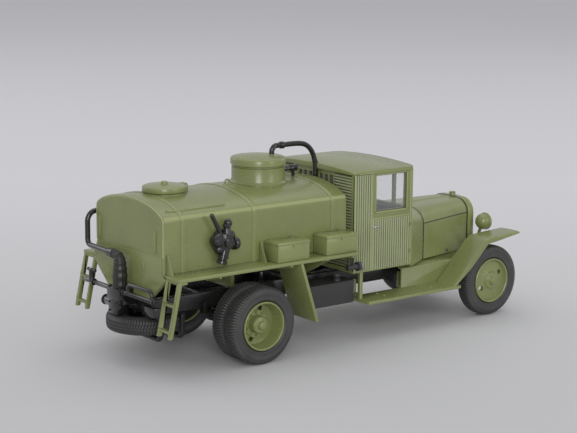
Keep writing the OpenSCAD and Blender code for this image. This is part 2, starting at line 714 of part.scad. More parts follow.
module tank_body() color(green) {
  along_x(tank_x0, tank_x1) tank_section();
  intersection() {
    for (x = band_at) along_x(x - band_w / 2, x + band_w / 2) tank_section(band_t);
    block(tank_x0, tank_x1, -tank_w, tank_w, walk_top, tank_top + 5);
  }
  translate([dome_x, 0, tank_top - 3]) cylinder(d = dome_d, h = dome_h + 3);
  translate([-hatch_back, 0, tank_top - 2]) cylinder(d = hatch_d - 1, h = hatch_h + 2);
}

lid_z = tank_top + dome_h;
lid_r = dome_d / 2 + 0.3;
lid_h = 2.8;

// Lid outlines are (radius, height)
module dome_lid() color(green) translate([dome_x, 0, lid_z]) rotate_extrude()
  polygon([[0, 0], [lid_r, 0], [lid_r, 1.2], [lid_r - 0.8, 2], [4, lid_h - 0.2], [0, lid_h]]);

hatch_r = hatch_d / 2;

module hatch_lid() color(green) translate([-hatch_back, 0, tank_top + hatch_h]) {
  rotate_extrude() polygon([[0, 0], [hatch_r, 0], [hatch_r, 0.7], [hatch_r - 0.5, 1.05], [0, 1.3]]);
  cylinder(r = 1, h = 2);
}

// Walkways and what stands on them or hangs below

gusset_at = [tank_x0 + 1.3, 3.9];
gusset_w = 3;
gusset_h = 5.2;
gusset_t = 0.5;

module walkways() color(green) both_sides() {
  block(walk_x0, walk_x1, tank_y, walk_y, walk_z, walk_top);
  for (x = gusset_at) along_x(x - gusset_t / 2, x + gusset_t / 2) polygon([[tank_y, walk_top - 0.1],
    [tank_y + gusset_w, walk_top - 0.1], [tank_y + 0.5, walk_top + gusset_h], [tank_y, walk_top + gusset_h]]);
}

cradle_t = 1.2;
cradle_gap = 0.1;

// Ladders hang from the rear ends of the walkways
ladder_y1 = walk_y - 0.1;
ladder_y0 = ladder_y1 - ladder_w;

// Each cradle's middle and how far its arms reach to the side
cradles = [[tank_x0 + cradle_t / 2, ladder_y0 - cradle_gap], [23, walk_y - 1.4]];
cradle_lip = 0.6;
belly_gap = 0.04;

module under_tank() difference() {
  children();
  translate([0, tank_bottom + belly_r]) circle(r = belly_r + belly_gap, $fn = 200);
}

module tank_cradles() color(green) {
  for (c = cradles) along_x(c[0] - cradle_t / 2, c[0] + cradle_t / 2) under_tank()
    polygon([[-rail_y, frame_top], [rail_y, frame_top], [c[1], walk_z - cradle_lip], [c[1], walk_z],
      [-c[1], walk_z], [-c[1], walk_z - cradle_lip]]);
  along_x(-cradle_t / 2, cradle_t / 2) under_tank()
    translate([-rail_y, frame_top]) square([2 * rail_y, walk_z - frame_top]);
}

// Lockers: distance from the walkway's front end to each one's front
locker_at = [0.3, 17.1];
locker_y = tank_y + band_t + 0.05;
locker_lid = 0.9;
locker_lip = 0.15;
latch_w = 1.2;
latch_t = 0.3;

module lockers() color(green) both_sides() for (d = locker_at) {
  x1 = walk_x1 - d;
  x0 = x1 - locker_len;
  z1 = walk_top + locker_h;
  y1 = locker_y + locker_d;
  middle = (x0 + x1) / 2;
  block(x0 + locker_lip, x1 - locker_lip, locker_y, y1 - locker_lip, walk_top, z1 - locker_lid + 0.1);
  block(x0, x1, locker_y, y1, z1 - locker_lid, z1);
  block(middle - latch_w / 2, middle + latch_w / 2, y1 - latch_t, y1 + latch_t, z1 - 1.7, z1 - 0.2);
}

guard_t = 1;
guard_y = 12.5;
guard_top = [12.3, walk_z];
guard_low = [17.9, axle_z - 1.6];

module mudguards() color(green) both_sides() difference() {
  along_y(guard_y, walk_y)
    polygon([guard_top, guard_top + [guard_t, 0], guard_low + [guard_t, 0], guard_low]);
  along_x(guard_top.x - 1, guard_low.x + 2) translate([0, tank_bottom + belly_r])
    circle(r = belly_r + cradle_gap, $fn = 200);
}

// Ladders: each rung's share of the height
ladder_lean = 3.1;
ladder_low = axle_z + 0.8;
rung_at = [0.09, 0.55];
rung_t = 0.9;

module ladders() color(green) both_sides() {
  for (y = [ladder_y0, ladder_y1 - ladder_rail]) along_y(y, y + ladder_rail) polygon([[walk_x0, walk_z],
    [walk_x0 + ladder_rail, walk_z], [walk_x0 + ladder_rail - ladder_lean, ladder_low],
    [walk_x0 - ladder_lean, ladder_low]]);
  for (f = rung_at) {
    z = ladder_low + f * (walk_z - ladder_low);
    x = walk_x0 - ladder_lean * (1 - f) + 0.1;
    block(x, x + rung_t, ladder_y0 + 0.2, ladder_y1 - 0.2, z, z + rung_t);
  }
  block(walk_x0 + 0.1, walk_x0 + 2.6, ladder_y0, ladder_y1, walk_z - 0.7, walk_z);
}

// Pumps, pipes and valves

pump_x = -9.2;
pump_z = walk_top + 7;
pump_out = 1.85;

module side_pump() color(black) translate([pump_x, -tank_y, pump_z]) {
  rotate([90, 0, 0]) cylinder(r = 3.2, h = 0.8);
  rotate([90, 0, 0]) cylinder(r = 2.5, h = 3.2);
  rotate([90, 0, 0]) cylinder(r = 1.1, h = 4.1);
  rod([-4, -pump_out, 0.6], [0, -pump_out, 0.2], 1.5);
  rod([0, -pump_out, -0.6], [3.6, -pump_out, -0.8], 1.3);
  rod([3.3, -pump_out, -0.8], [4.3, -pump_out, -0.8], 1.7);
  rod([0.2, -pump_out, -1.6], [-0.9, -pump_out, -5.6], 1);
  rod([-0.75, -pump_out, -5.1], [-0.95, -pump_out, -5.9], 1.3);
  translate([0.7, -pump_out, 1.5]) cylinder(r = 0.9, h = 3.6);
  rod([-0.2, -pump_out, 5.1], [2, -pump_out, 5.1], 0.9);
  rod([-0.8, -pump_out, 1.2], [-4.4, -pump_out - 0.3, 7.6], 0.5);
}

// The vent pipe rises from the dome's lid and goes down between tank and cab
vent_y = -0.7;
vent_x0 = dome_x + 4.4;
vent_x1 = (tank_x1 + back_x0) / 2;
vent_z = lid_z + 4.55;
vent_foot = lid_z + lid_h - 0.1;
vent_path = [[vent_x0, vent_y, vent_foot + 0.4], [vent_x0 + 0.5, vent_y, vent_z],
  [vent_x1 - 3.2, vent_y, vent_z], [vent_x1, vent_y, vent_z - 6.2], [vent_x1, vent_y, cab_in + 0.3]];

module vent_pipe() color(black) {
  tube(bent(vent_path, [1.1, 2.6, 4]), pipe_r);
  translate([vent_x0, vent_y, vent_foot]) cylinder(r = pipe_r + 0.25, h = 0.6);
  translate([vent_x0 + 2.9, vent_y, vent_z]) rotate([0, 90, 0]) cylinder(r = pipe_r + 0.15, h = 1.2);
}

valve_x = dome_x + dome_d / 2 + 4.85;
valve_r = 0.95;
seat_gap = 0.05;
valve_foot = tank_top + band_t + seat_gap;
valve_z = tank_top + 2.6;

module dome_valve() color(black) {
  rod([dome_x + dome_d / 2 + seat_gap, 0, valve_z], [valve_x, 0, valve_z], 0.65);
  rod([valve_x - 1.15, 0, valve_z], [valve_x + 1.15, 0, valve_z], valve_r);
  translate([valve_x, 0, valve_foot]) cylinder(r = 0.5, h = valve_z - valve_foot);
}

rear_x = tank_x0 - 2.6;
gear_top = frame_top + 2.4;
pipe_y = tank_y + 1.1;
side_pipe_z = tank_top - 6.4;
rear_pipe_z = walk_top + 2.8;
rear_path = [[tank_x0 + 12, tank_y, side_pipe_z], [tank_x0 + 12, pipe_y, side_pipe_z],
  [tank_x0 - 2, pipe_y, side_pipe_z - 0.2], [tank_x0 - 2, pipe_y, rear_pipe_z], [rear_x, 6, rear_pipe_z],
  [rear_x, 4, rear_pipe_z]];

module rear_pipe() color(black) {
  tube(bent(rear_path, [0.95, 2.6, 1.5, 3]), pipe_r);
  translate([rear_x, 5.4, rear_pipe_z]) rotate([90, 0, 0]) cylinder(r = pipe_r + 0.4, h = 1.4);
}

// The hose widens towards the pump
hose_r = 1.2;
hose_foot_r = 2.1;
hose_y = 0.2;
hose_h = 6.4;
hose_path = [[rear_x, 3.95, rear_pipe_z], [rear_x, hose_y, rear_pipe_z], [rear_x, hose_y, gear_top + 5]];

module rear_hose() color(black) {
  tube(bent(hose_path, [1.9]), hose_r);
  translate([rear_x, hose_y, gear_top + seat_gap]) cylinder(r1 = hose_foot_r, r2 = hose_r + 0.05, h = hose_h);
}

// Pump gear across the rear end of the frame
gear_y0 = -2.4;
gear_y1 = 3.6;
bar_x = rear_x - 0.8;
bar_z = frame_top + 1.8;
bar_r = 0.65;
bar_ends = [-18, 17];
tap_y = 13.3;
loop_y = [-5, -16.4];
loop_path = [[bar_x, loop_y[0], bar_z], [bar_x, loop_y[0], bar_z + 2.6], [bar_x, loop_y[1], bar_z + 2.6],
  [bar_x, loop_y[1], bar_z]];

module rear_pump() color(black) {
  block(rear_x - 2, tank_x0 - 0.1, gear_y0, gear_y1, frame_top - 0.6, gear_top);
  block(rear_x - 0.6, frame_x0, gear_y0, gear_y1, frame_top - 2, frame_top - 0.3);
  block(rear_x - 1.8, rear_x + 1.9, gear_y0 + 1.4, gear_y1 - 0.4, frame_bot - 0.5, frame_top - 0.5);
  rod([bar_x, gear_y0 + 0.2, bar_z], [bar_x, bar_ends[0], bar_z], bar_r);
  rod([bar_x, gear_y1 - 0.2, bar_z], [bar_x, bar_ends[1], bar_z], bar_r);
  rod([bar_x, tap_y, bar_z], [bar_x, tap_y, bar_z + 3.2], 0.8);
  rod([bar_x, tap_y - 1.6, bar_z + 3.2], [bar_x, tap_y + 1.6, bar_z + 3.2], 0.4);
  rod([rear_x, 2, frame_bot + 2], [rear_x, 7.5, frame_bot + 2], 1.3);
  block(frame_x0 - 2.2, frame_x0, -13.4, -rail_y + rail_flange, frame_bot + 0.6, frame_bot + 3);
  tube(bent(loop_path, [1.2, 1.2]), 0.55);
}

// Shut-off valve under the front end of the right walkway
shut_y = -21;
shut_z = walk_z - 3.9;

module delivery_valve() color(dark_grey) {
  for (x = [walk_x1 - 1.9, walk_x1 - 0.3])
    translate([x, shut_y, shut_z]) cylinder(r = 0.3, h = walk_z - shut_z);
  translate([walk_x1 - 2.6, shut_y, shut_z]) rotate([0, 90, 0]) cylinder(r = 0.8, h = 5.4);
  translate([walk_x1 + 1, shut_y, shut_z]) rotate([0, 90, 0]) cylinder(r = 1.3, h = 0.8);
}

// Spare wheel and its carrier

module spare_tyre() color(rubber) translate([spare_x, 0, spare_z]) rotate_extrude() tyre_outline();

hand_hole_r = 4.3;
disc_t = 0.4;
flange_r = rim_r - 0.6;

module spare_disc() color(black) translate([spare_x, 0, spare_z]) difference() {
  rotate_extrude() polygon([[0, disc_t], [flange_r, disc_t], [flange_r, rim_w], [rim_r, rim_w],
    [rim_r, -rim_w], [flange_r, -rim_w], [flange_r, -disc_t], [0, -disc_t]]);
  cylinder(r = 1.6, h = tyre_w, center = true);
  for (s = [-1, 1]) translate([s * hand_hole_r, 0, 0]) cylinder(d = hand_hole_d, h = tyre_w, center = true);
}

carrier_y = tyre_d / 2 + 1.2;
carrier_r = 0.7;
carrier_low = spare_z - tyre_w / 2 - carrier_r;
carrier_at = [frame_x0 + 1, spare_x + 3.8];

module spare_carrier() color(black) for (x = carrier_at) {
  top = frame_bot - 0.4;
  hoop = [[x, -carrier_y, top], [x, -carrier_y, carrier_low], [x, carrier_y, carrier_low],
    [x, carrier_y, top]];
  tube(bent(hoop, [1.4, 1.4]), carrier_r);
  both_sides() block(x - carrier_r, x + carrier_r, rail_y - rail_flange, carrier_y + carrier_r,
    frame_bot - 0.7, frame_bot);
}

// Wheels: the outlines are (radius, distance outwards from the tyre's middle plane)

tyre_chamfer = 0.5;
shoulder_arc = [for (i = [0:6]) tyre_shoulder_r * [sin(15 * i), cos(15 * i)]];

module tyre_outline() {
  w = tyre_w / 2;
  r = tyre_d / 2 - tyre_shoulder_r;
  s = w - tyre_shoulder_r;
  polygon(concat([[rim_r, tyre_chamfer - w], [rim_r + tyre_chamfer, -w]],
    [for (p = shoulder_arc) [r + p.x, -s - p.y]],
    [for (i = [6:-1:0]) [r + shoulder_arc[i].x, s + shoulder_arc[i].y]],
    [[rim_r + tyre_chamfer, w], [rim_r, w - tyre_chamfer]]));
}

rim_w = tyre_w / 2 - 0.2;
well_r = rim_r - 0.5;
hub_r = 2.4;
cap_r = 1.1;
pin_end_gap = 0.25;

module bore(depth) translate([0, depth, 0]) rotate([90, 0, 0]) cylinder(r = pin_r + pin_clearance, h = 40);

module hand_holes(turn) rotate([0, -turn, 0]) for (s = [-1, 1])
  translate([s * hand_hole_r, -tyre_w / 2 - 1, 0]) rotate([-90, 0, 0])
    cylinder(d = hand_hole_d, h = tyre_w + 1);

module front_rim(turn) difference() {
  about_y() polygon([[0, 2.9], [cap_r, 2.8], [cap_r + 0.2, 2.3], [hub_r, 2.1], [hub_r + 0.2, 1.7],
    [rim_r - 0.9, 1.1], [well_r, rim_w], [rim_r, rim_w], [rim_r, -rim_w], [well_r, -rim_w], [well_r, 0.2],
    [hub_r, 0.8], [hub_r, -hub_in], [0, -hub_in]]);
  bore(pin_out + pin_end_gap);
  hand_holes(turn);
}

module rear_rims(turn) difference() {
  union() {
    about_y() polygon([[0, 1.6], [cap_r, 1.5], [cap_r + 0.1, 0.8], [hub_r - 0.2, 0.6], [hub_r, 0.2],
      [hub_r + 0.1, -1.7], [rim_r - 1.1, -1.9], [well_r, rim_w], [rim_r, rim_w], [rim_r, -rim_w],
      [well_r, -rim_w - 0.4], [hub_r, -rim_w - 0.4], [hub_r, -twin_spacing - hub_in],
      [0, -twin_spacing - hub_in]]);
    translate([0, -twin_spacing, 0]) about_y() polygon([[hub_r - 0.4, 1], [rim_r - 0.9, 1], [well_r, rim_w],
      [rim_r, rim_w], [rim_r, -rim_w], [well_r, -rim_w], [well_r, 0.2], [hub_r - 0.4, 0.2]]);
  }
  bore(-pin_out + pin_end_gap);
  hand_holes(turn);
}

// How far the hand holes are turned up from straight ahead
front_turn = 29;
rear_turn = 70;
outer_y = rear_wheel_y + twin_spacing / 2;

module at_front() translate([front_x, front_wheel_y, axle_z]) children();
module at_rear() translate([0, outer_y, axle_z]) children();
module right_side() mirror([0, 1, 0]) children();

module front_tyre() at_front() about_y() tyre_outline();
module rear_tyres() at_rear() for (y = [0, -twin_spacing]) translate([0, y, 0]) about_y() tyre_outline();

module front_left_tyre() color(rubber) front_tyre();
module front_right_tyre() color(rubber) right_side() front_tyre();
module rear_left_tyres() color(rubber) rear_tyres();
module rear_right_tyres() color(rubber) right_side() rear_tyres();
module front_left_rim() color(green) at_front() front_rim(front_turn);
module front_right_rim() color(green) right_side() at_front() front_rim(front_turn);
module rear_left_rims() color(green) at_rear() rear_rims(rear_turn);
module rear_right_rims() color(green) right_side() at_rear() rear_rims(rear_turn);

placed() chassis_frame();
placed() front_axle();
placed() rear_axle();
placed() leaf_springs();
placed() drive_shaft();
placed() engine_underside();
placed() side_box();
placed() exhaust();
placed() cab_floor();
placed() cab_back();
placed() cab_quarters();
placed() cab_doors();
placed() cab_front();
placed() cab_roof();
placed() cab_glass();
placed() seat();
placed() dashboard();
placed() steering_wheel();
placed() cowl();
placed() bonnet();
placed() radiator_shell();
placed() radiator_core();
placed() fenders();
placed() running_boards();
placed() headlight_bodies();
placed() headlight_lenses();
placed() tank_body();
placed() dome_lid();
placed() hatch_lid();
placed() walkways();
placed() tank_cradles();
placed() lockers();
placed() mudguards();
placed() ladders();
placed() side_pump();
placed() vent_pipe();
placed() dome_valve();
placed() rear_pipe();
placed() rear_hose();
placed() rear_pump();
placed() delivery_valve();
placed() spare_tyre();
placed() spare_disc();
placed() spare_carrier();
placed() front_left_tyre();
placed() front_left_rim();
placed() front_right_tyre();
placed() front_right_rim();
placed() rear_left_tyres();
placed() rear_left_rims();
placed() rear_right_tyres();
placed() rear_right_rims();
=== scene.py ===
"""Dresses the solids of a scale model fuel tanker truck with paint, rubber, glass and small fittings.

Lengths are millimetres in truck coordinates unless a name says otherwise: x runs forward from the rear axle,
y to the left side and z up from the floor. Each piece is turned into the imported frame's metres when it is
made.
"""

import json
import logging
import math
from dataclasses import dataclass
from enum import Enum
from typing import Callable, Iterable, Sequence

import bmesh
import bpy
from mathutils import Matrix, Vector

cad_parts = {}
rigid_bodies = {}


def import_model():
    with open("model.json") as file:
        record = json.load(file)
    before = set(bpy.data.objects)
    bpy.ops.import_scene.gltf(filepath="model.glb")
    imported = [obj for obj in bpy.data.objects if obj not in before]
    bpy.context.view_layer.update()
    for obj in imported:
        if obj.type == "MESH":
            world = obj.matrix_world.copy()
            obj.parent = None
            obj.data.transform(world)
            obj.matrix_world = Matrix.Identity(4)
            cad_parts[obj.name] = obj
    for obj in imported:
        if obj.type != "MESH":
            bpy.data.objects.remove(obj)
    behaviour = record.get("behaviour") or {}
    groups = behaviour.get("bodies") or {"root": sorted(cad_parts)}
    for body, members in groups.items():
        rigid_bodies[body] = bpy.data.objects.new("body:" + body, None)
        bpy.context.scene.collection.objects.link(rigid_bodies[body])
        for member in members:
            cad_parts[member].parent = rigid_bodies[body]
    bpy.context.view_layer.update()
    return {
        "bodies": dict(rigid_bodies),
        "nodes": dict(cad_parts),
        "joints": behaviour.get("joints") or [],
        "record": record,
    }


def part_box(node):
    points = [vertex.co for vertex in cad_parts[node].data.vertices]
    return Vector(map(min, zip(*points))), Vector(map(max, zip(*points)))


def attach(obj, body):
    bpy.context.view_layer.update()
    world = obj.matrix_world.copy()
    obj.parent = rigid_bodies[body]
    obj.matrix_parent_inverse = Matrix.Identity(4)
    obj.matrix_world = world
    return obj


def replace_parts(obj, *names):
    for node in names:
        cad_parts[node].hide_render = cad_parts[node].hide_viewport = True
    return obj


LOG = logging.getLogger("tanker")
MM = 0.001
TRUCK = "truck"

Point2 = tuple[float, float]
Point3 = tuple[float, float, float]

# Sizes of the truck that its visible pieces are fitted to
TYRE_WIDTH = 4.6
RIM_RADIUS = 6.7
AXLE_Z = 10.65
FRAME_TOP = 18.5
FRAME_BOT = 14.3
RAIL_Y = 9.2
REAR_SPRING_Y = 10.65
FRONT_SPRING_Y = 8.4
CAB_Y = 17.6
CAB_Z = 19.1
CAB_IN = 20.3
CAB_TOP = 47.3
COWL_TOP = 35.7
BONNET_TOP = 33.7
WINDOW_X = (44.05, 55.45)
WINDOW_Z = (36.1, 46.5)
BELT = 2.2
REAR_WINDOW_Y = 8.1
REAR_WINDOW_Z = (40.7, 45.9)
RADIATOR_X = (89.4, 91.7)
HEADLIGHT_Y = 11.0
BOARD_Z = 11.35
FENDER_INNER = 13.6
FENDER_LINE = ((72.0, 11.35), (85.0, 24.05), (98.6, 24.75))
FENDER_RADIUS = 3.0
TANK_Y = 16.4
TANK_TOP = 45.3
TANK_BOTTOM = 21.4
WALK_Z = 26.0
WALK_TOP = 26.9
SEAM_Z = 31.15
BAND_X = (-21.1, 2.1, 29.3)
LOCKER_X = (22.0, 5.2)
LOCKER_Y = (16.7, 22.7)
LOCKER_LENGTH = 11
EYE_X = 4.7
PUMP_AT = (-9.2, -16.4, 33.9)
HOSE_Y = 0.2
# Points of the tank's section that lie on its shoulder, under the pale strips of painted highlight
SHOULDER_POINTS = slice(14, 18)
# Section of the bead round a wheel's rim, as (radius, distance outwards)
RIM_BEAD = [(6.16, 1.85), (6.68, 1.85), (6.68, 2.16), (6.56, 2.28), (6.32, 2.28), (6.16, 2.1)]


class Side(Enum):
    """The two sides of the truck, as the sign of y."""

    LEFT = 1
    RIGHT = -1


class Datum:
    """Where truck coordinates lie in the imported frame."""

    rear_axle_x = 0.0
    nodes: dict[str, bpy.types.Object] = {}
    bodies: dict[str, str] = {}
    slots: dict[str, str] = {}
    joints: dict[str, Vector] = {}

    @classmethod
    def take(cls, frame: dict) -> None:
        """Reads the axle's place, the nodes and their finishes from the loaded frame.
        """
        cls.nodes = frame["nodes"]
        record = frame["record"]
        for body, members in record["behaviour"]["bodies"].items():
            cls.bodies.update({node: body for node in members})
        cls.slots = {part["node"]: part["material_slot"] for part in record["subparts"]}
        places = {joint["name"]: Vector(joint["pos_m"]) / MM for joint in frame["joints"]}
        cls.rear_axle_x = places["rear_left_spin"].x
        shift = Vector((cls.rear_axle_x, 0, 0))
        cls.joints = {name: place - shift for name, place in places.items()}


@dataclass(frozen=True)
class Span:
    """Box of a CAD node in truck coordinates."""

    low: Vector
    high: Vector

    @classmethod
    def of(cls, node: str) -> "Span":
        """Reads a node's box from the frame.

        Args:
            node: Name of the CAD node.

        Returns:
            Its box in truck coordinates.
        """
        low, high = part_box(node)
        shift = Vector((Datum.rear_axle_x, 0, 0))
        return cls(low / MM - shift, high / MM - shift)

    @property
    def middle(self) -> Vector:
        """Middle of the box."""
        return (self.low + self.high) / 2


def facing(origin: Sequence[float], direction: Sequence[float]) -> Matrix:
    """Makes a place at an origin whose own z axis points in a direction."""
    turn = Vector(direction).normalized().to_track_quat("Z", "Y")
    return Matrix.Translation(Vector(origin)) @ turn.to_matrix().to_4x4()


def smooth_path(points: Sequence[Point3], steps: int = 8) -> list[Vector]:
    """Runs a smooth curve through points.

    Args:
        points: Points that the curve passes through.
        steps: Short stretches between two points.

    Returns:
        Points along the curve.
    """
    knots = [Vector(p) for p in points]
    knots = [2 * knots[0] - knots[1], *knots, 2 * knots[-1] - knots[-2]]
    path = []
    for a, b, c, d in zip(knots, knots[1:], knots[2:], knots[3:]):
        for i in range(steps):
            t = i / steps
            path.append(
                0.5
                * (
                    2 * b
                    + (c - a) * t
                    + (2 * a - 5 * b + 4 * c - d) * t**2
                    + (3 * b - a - 3 * c + d) * t**3
                )
            )
    path.append(knots[-2])
    return path


class Shape:
    """Collects closed forms and turns them into one mesh piece."""

    def __init__(self) -> None:
        """Starts with no faces."""
        self.points: list[Vector] = []
        self.faces: list[tuple[int, ...]] = []

    def add(
        self,
        points: Iterable[Sequence[float]],
        faces: Iterable[Sequence[int]],
        place: Matrix,
    ) -> "Shape":
        """Adds points and faces.

        Args:
            points: Points in the place's own coordinates.
            faces: Faces as indices of those points.
            place: Where the form goes.

        Returns:
            The shape itself.
        """
        first = len(self.points)
        self.points += [place @ Vector(p) for p in points]
        self.faces += [tuple(first + i for i in face) for face in faces]
        return self

    def loft(
        self,
        rings: Sequence[Sequence[Sequence[float]]],
        place: Matrix = Matrix(),
        capped: bool = True,
        looped: bool = False,
    ) -> "Shape":
        """Joins closed rings that have as many points each.

        Args:
            rings: The rings, in order.
            place: Where the form goes.
            capped: Whether the first and last rings are closed by a face.
            looped: Whether the last ring joins the first.

        Returns:
            The shape itself.
        """
        count = len(rings[0])
        points = [p for ring in rings for p in ring]
        faces = []
        for i in range(len(rings) if looped else len(rings) - 1):
            a, b = i * count, (i + 1) % len(rings) * count
            faces += [(a + k, a + (k + 1) % count, b + (k + 1) % count, b + k) for k in range(count)]
        if capped and not looped:
            last = (len(rings) - 1) * count
            faces += [tuple(reversed(range(count))), tuple(range(last, last + count))]
        return self.add(points, faces, place)

    def lathe(self, profile: Sequence[Point2], place: Matrix = Matrix(), steps: int = 48) -> "Shape":
        """Turns a profile about the place's z axis.

        Args:
            profile: Points as (radius, height); one that ends on the axis is closed there.
            place: Where the form goes.
            steps: Stretches round the axis.

        Returns:
            The shape itself.
        """
        turns = [(math.cos(math.tau * k / steps), math.sin(math.tau * k / steps)) for k in range(steps)]
        rings = [[(max(r, 1e-4) * c, max(r, 1e-4) * s, h) for c, s in turns] for r, h in profile]
        return self.loft(rings, place)

    def ring(self, profile: Sequence[Point2], place: Matrix = Matrix(), steps: int = 48) -> "Shape":
        """Turns a closed profile about the place's z axis into a ring.

        Args:
            profile: Corners of the profile as (radius, height).
            place: Where the form goes.
            steps: Stretches round the axis.

        Returns:
            The shape itself.
        """
        sections = []
        for k in range(steps):
            c, s = math.cos(math.tau * k / steps), math.sin(math.tau * k / steps)
            sections.append([(r * c, r * s, h) for r, h in profile])
        return self.loft(sections, place, looped=True)

    def tube(
        self,
        path: Sequence[Sequence[float]],
        radius: float | Callable[[float, float], float],
        sides: int = 16,
    ) -> "Shape":
        """Sweeps a round section along a path.

        Args:
            path: Points along the middle.
            radius: The radius, or its function of (share of the length, angle in radians).
            sides: Points round the section.

        Returns:
            The shape itself.
        """
        points = [Vector(p) for p in path]
        last = len(points) - 1
        side = None
        rings = []
        for i, point in enumerate(points):
            along = (points[min(i + 1, last)] - points[max(i - 1, 0)]).normalized()
            if side is None:
                side = along.orthogonal().normalized()
            side = (side - along * side.dot(along)).normalized()
            across = along.cross(side)
            ring = []
            for k in range(sides):
                angle = math.tau * k / sides
                reach = radius(i / last, angle) if callable(radius) else radius
                ring.append(point + reach * (math.cos(angle) * side + math.sin(angle) * across))
            rings.append(ring)
        return self.loft(rings)

    def block(
        self,
        low: Sequence[float],
        high: Sequence[float],
        soft: float = 0.08,
        place: Matrix = Matrix(),
    ) -> "Shape":
        """Adds a box with rounded edges.

        Args:
            low: Its lowest corner.
            high: Its highest corner.
            soft: How far its edges are rounded.
            place: Where the form goes.

        Returns:
            The shape itself.
        """
        work = bmesh.new()
        bmesh.ops.create_cube(work, size=1)
        size = [b - a for a, b in zip(low, high)]
        middle = [(a + b) / 2 for a, b in zip(low, high)]
        sized = Matrix.LocRotScale(Vector(middle), None, Vector(size))
        bmesh.ops.transform(work, matrix=sized, verts=work.verts)
        width = min(soft, 0.45 * min(size))
        bmesh.ops.bevel(
            work,
            geom=list(work.edges),
            offset=width,
            offset_type="OFFSET",
            segments=2,
            profile=0.5,
            affect="EDGES",
        )
        work.verts.index_update()
        points = [v.co.copy() for v in work.verts]
        faces = [[v.index for v in face.verts] for face in work.faces]
        work.free()
        return self.add(points, faces, place)

    def plate(
        self,
        outline: Sequence[Point2],
        thick: float,
        place: Matrix = Matrix(),
        soft: float = 0.06,
    ) -> "Shape":
        """Adds a flat plate with softened rims.

        Args:
            outline: Corners in the place's own (x, y).
            thick: Its thickness along the place's z.
            place: Where the form goes.
            soft: How far the rims are rounded.

        Returns:
            The shape itself.
        """
        middle = sum((Vector(p) for p in outline), Vector((0, 0))) / len(outline)
        inner = [Vector(p) + (middle - Vector(p)).normalized() * soft for p in outline]
        levels = [(inner, 0.0), (outline, soft), (outline, thick - soft), (inner, thick)]
        return self.loft([[(p[0], p[1], h) for p in ring] for ring, h in levels], place)

    def nut(self, place: Matrix, across: float, high: float, stud: float = 0.0) -> "Shape":
        """Adds a hexagon nut, with the domed end of its stud.

        Args:
            place: Its seat, with z pointing away from it.
            across: Radius over the corners.
            high: Height of the nut.
            stud: How far the stud stands out of it.

        Returns:
            The shape itself.
        """
        self.lathe([(0, 0), (across, 0), (across, 0.75 * high), (0.8 * across, high), (0, high)], place, 6)
        if stud:
            r = 0.5 * across
            end = high + stud
            self.lathe([(0, 0), (r, 0), (r, high + 0.6 * stud), (0.6 * r, end), (0, end)], place, 12)
        return self

    def rivet(self, place: Matrix, radius: float) -> "Shape":
        """Adds a round rivet head on a seat whose z axis points away from it."""
        dome = [(radius * math.cos(a), 0.6 * radius * math.sin(a)) for a in (0, 0.5, 1.0, math.pi / 2)]
        return self.lathe([(0, -0.1 * radius), *dome], place, 12)

    def with_mirror(self) -> "Shape":
        """Adds the same forms on the other side of the truck.

        Returns:
            The shape itself.
        """
        first = len(self.points)
        self.points += [Vector((p.x, -p.y, p.z)) for p in self.points]
        self.faces += [tuple(first + i for i in reversed(face)) for face in self.faces]
        return self

    def piece(self, name: str, finish: "Finish", body: str = TRUCK, crease: float = 35.0) -> bpy.types.Object:
        """Makes the mesh piece and lets it ride on a body.

        Args:
            name: Name of the piece.
            finish: Its finish.
            body: The CAD body that carries it.
            crease: Edges sharper than this angle in degrees stay crisp.

        Returns:
            The piece.
        """
        work = bmesh.new()
        corners = [work.verts.new(((p.x + Datum.rear_axle_x) * MM, p.y * MM, p.z * MM)) for p in self.points]
        for face in self.faces:
            work.faces.new([corners[i] for i in face])
        bmesh.ops.remove_doubles(work, verts=work.verts, dist=0.002 * MM)
        bmesh.ops.recalc_face_normals(work, faces=work.faces)
        return finish_piece(work, name, finish, body, crease)


def finish_piece(
    work: bmesh.types.BMesh, name: str, finish: "Finish", body: str, crease: float
) -> bpy.types.Object:
    """Turns a worked mesh into a piece with its finish.

    Args:
        work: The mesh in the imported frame's metres; it is freed.
        name: Name of the piece.
        finish: Its finish.
        body: The CAD body that carries it.
        crease: Edges sharper than this angle in degrees stay crisp.

    Returns:
        The piece.
    """
    for face in work.faces:
        face.smooth = True
    mesh = bpy.data.meshes.new(name)
    work.to_mesh(mesh)
    work.free()
    stale = mesh.attributes.get("custom_normal")
    if stale:
        mesh.attributes.remove(stale)
    mesh.set_sharp_from_angle(angle=math.radians(crease))
    piece = bpy.data.objects.new(name, mesh)
    bpy.context.scene.collection.objects.link(piece)
    mesh.materials.append(finish.material())
    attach(piece, body)
    LOG.info("%s: %d faces, rides on %s", name, len(mesh.polygons), body)
    return piece


def softened(node: str, finish: "Finish", width: float = 0.1, crease: float = 35.0) -> bpy.types.Object:
    """Makes a copy of a CAD node with rounded edges that stands for the node.

    Args:
        node: Name of the CAD node.
        finish: Its finish.
        width: How far the edges are rounded; none where it is zero.
        crease: Edges sharper than this angle in degrees are rounded.

    Returns:
        The piece.
    """
    work = bmesh.new()
    work.from_mesh(Datum.nodes[node].data)
    bmesh.ops.remove_doubles(work, verts=work.verts, dist=0.002 * MM)
    if width:
        bmesh.ops.dissolve_limit(work, angle_limit=math.radians(0.6), verts=work.verts, edges=work.edges)
        limit = math.radians(crease)
        sharp = [e for e in work.edges if len(e.link_faces) == 2 and e.calc_face_angle() > limit]
        bmesh.ops.bevel(
            work,
            geom=sharp,
            offset=width * MM,
            offset_type="OFFSET",
            segments=2,
            profile=0.5,
            affect="EDGES",
            clamp_overlap=False,
            loop_slide=True,
            miter_outer="ARC",
        )
    piece = finish_piece(work, f"finished_{node}", finish, Datum.bodies[node], crease)
    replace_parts(piece, node)
    return piece


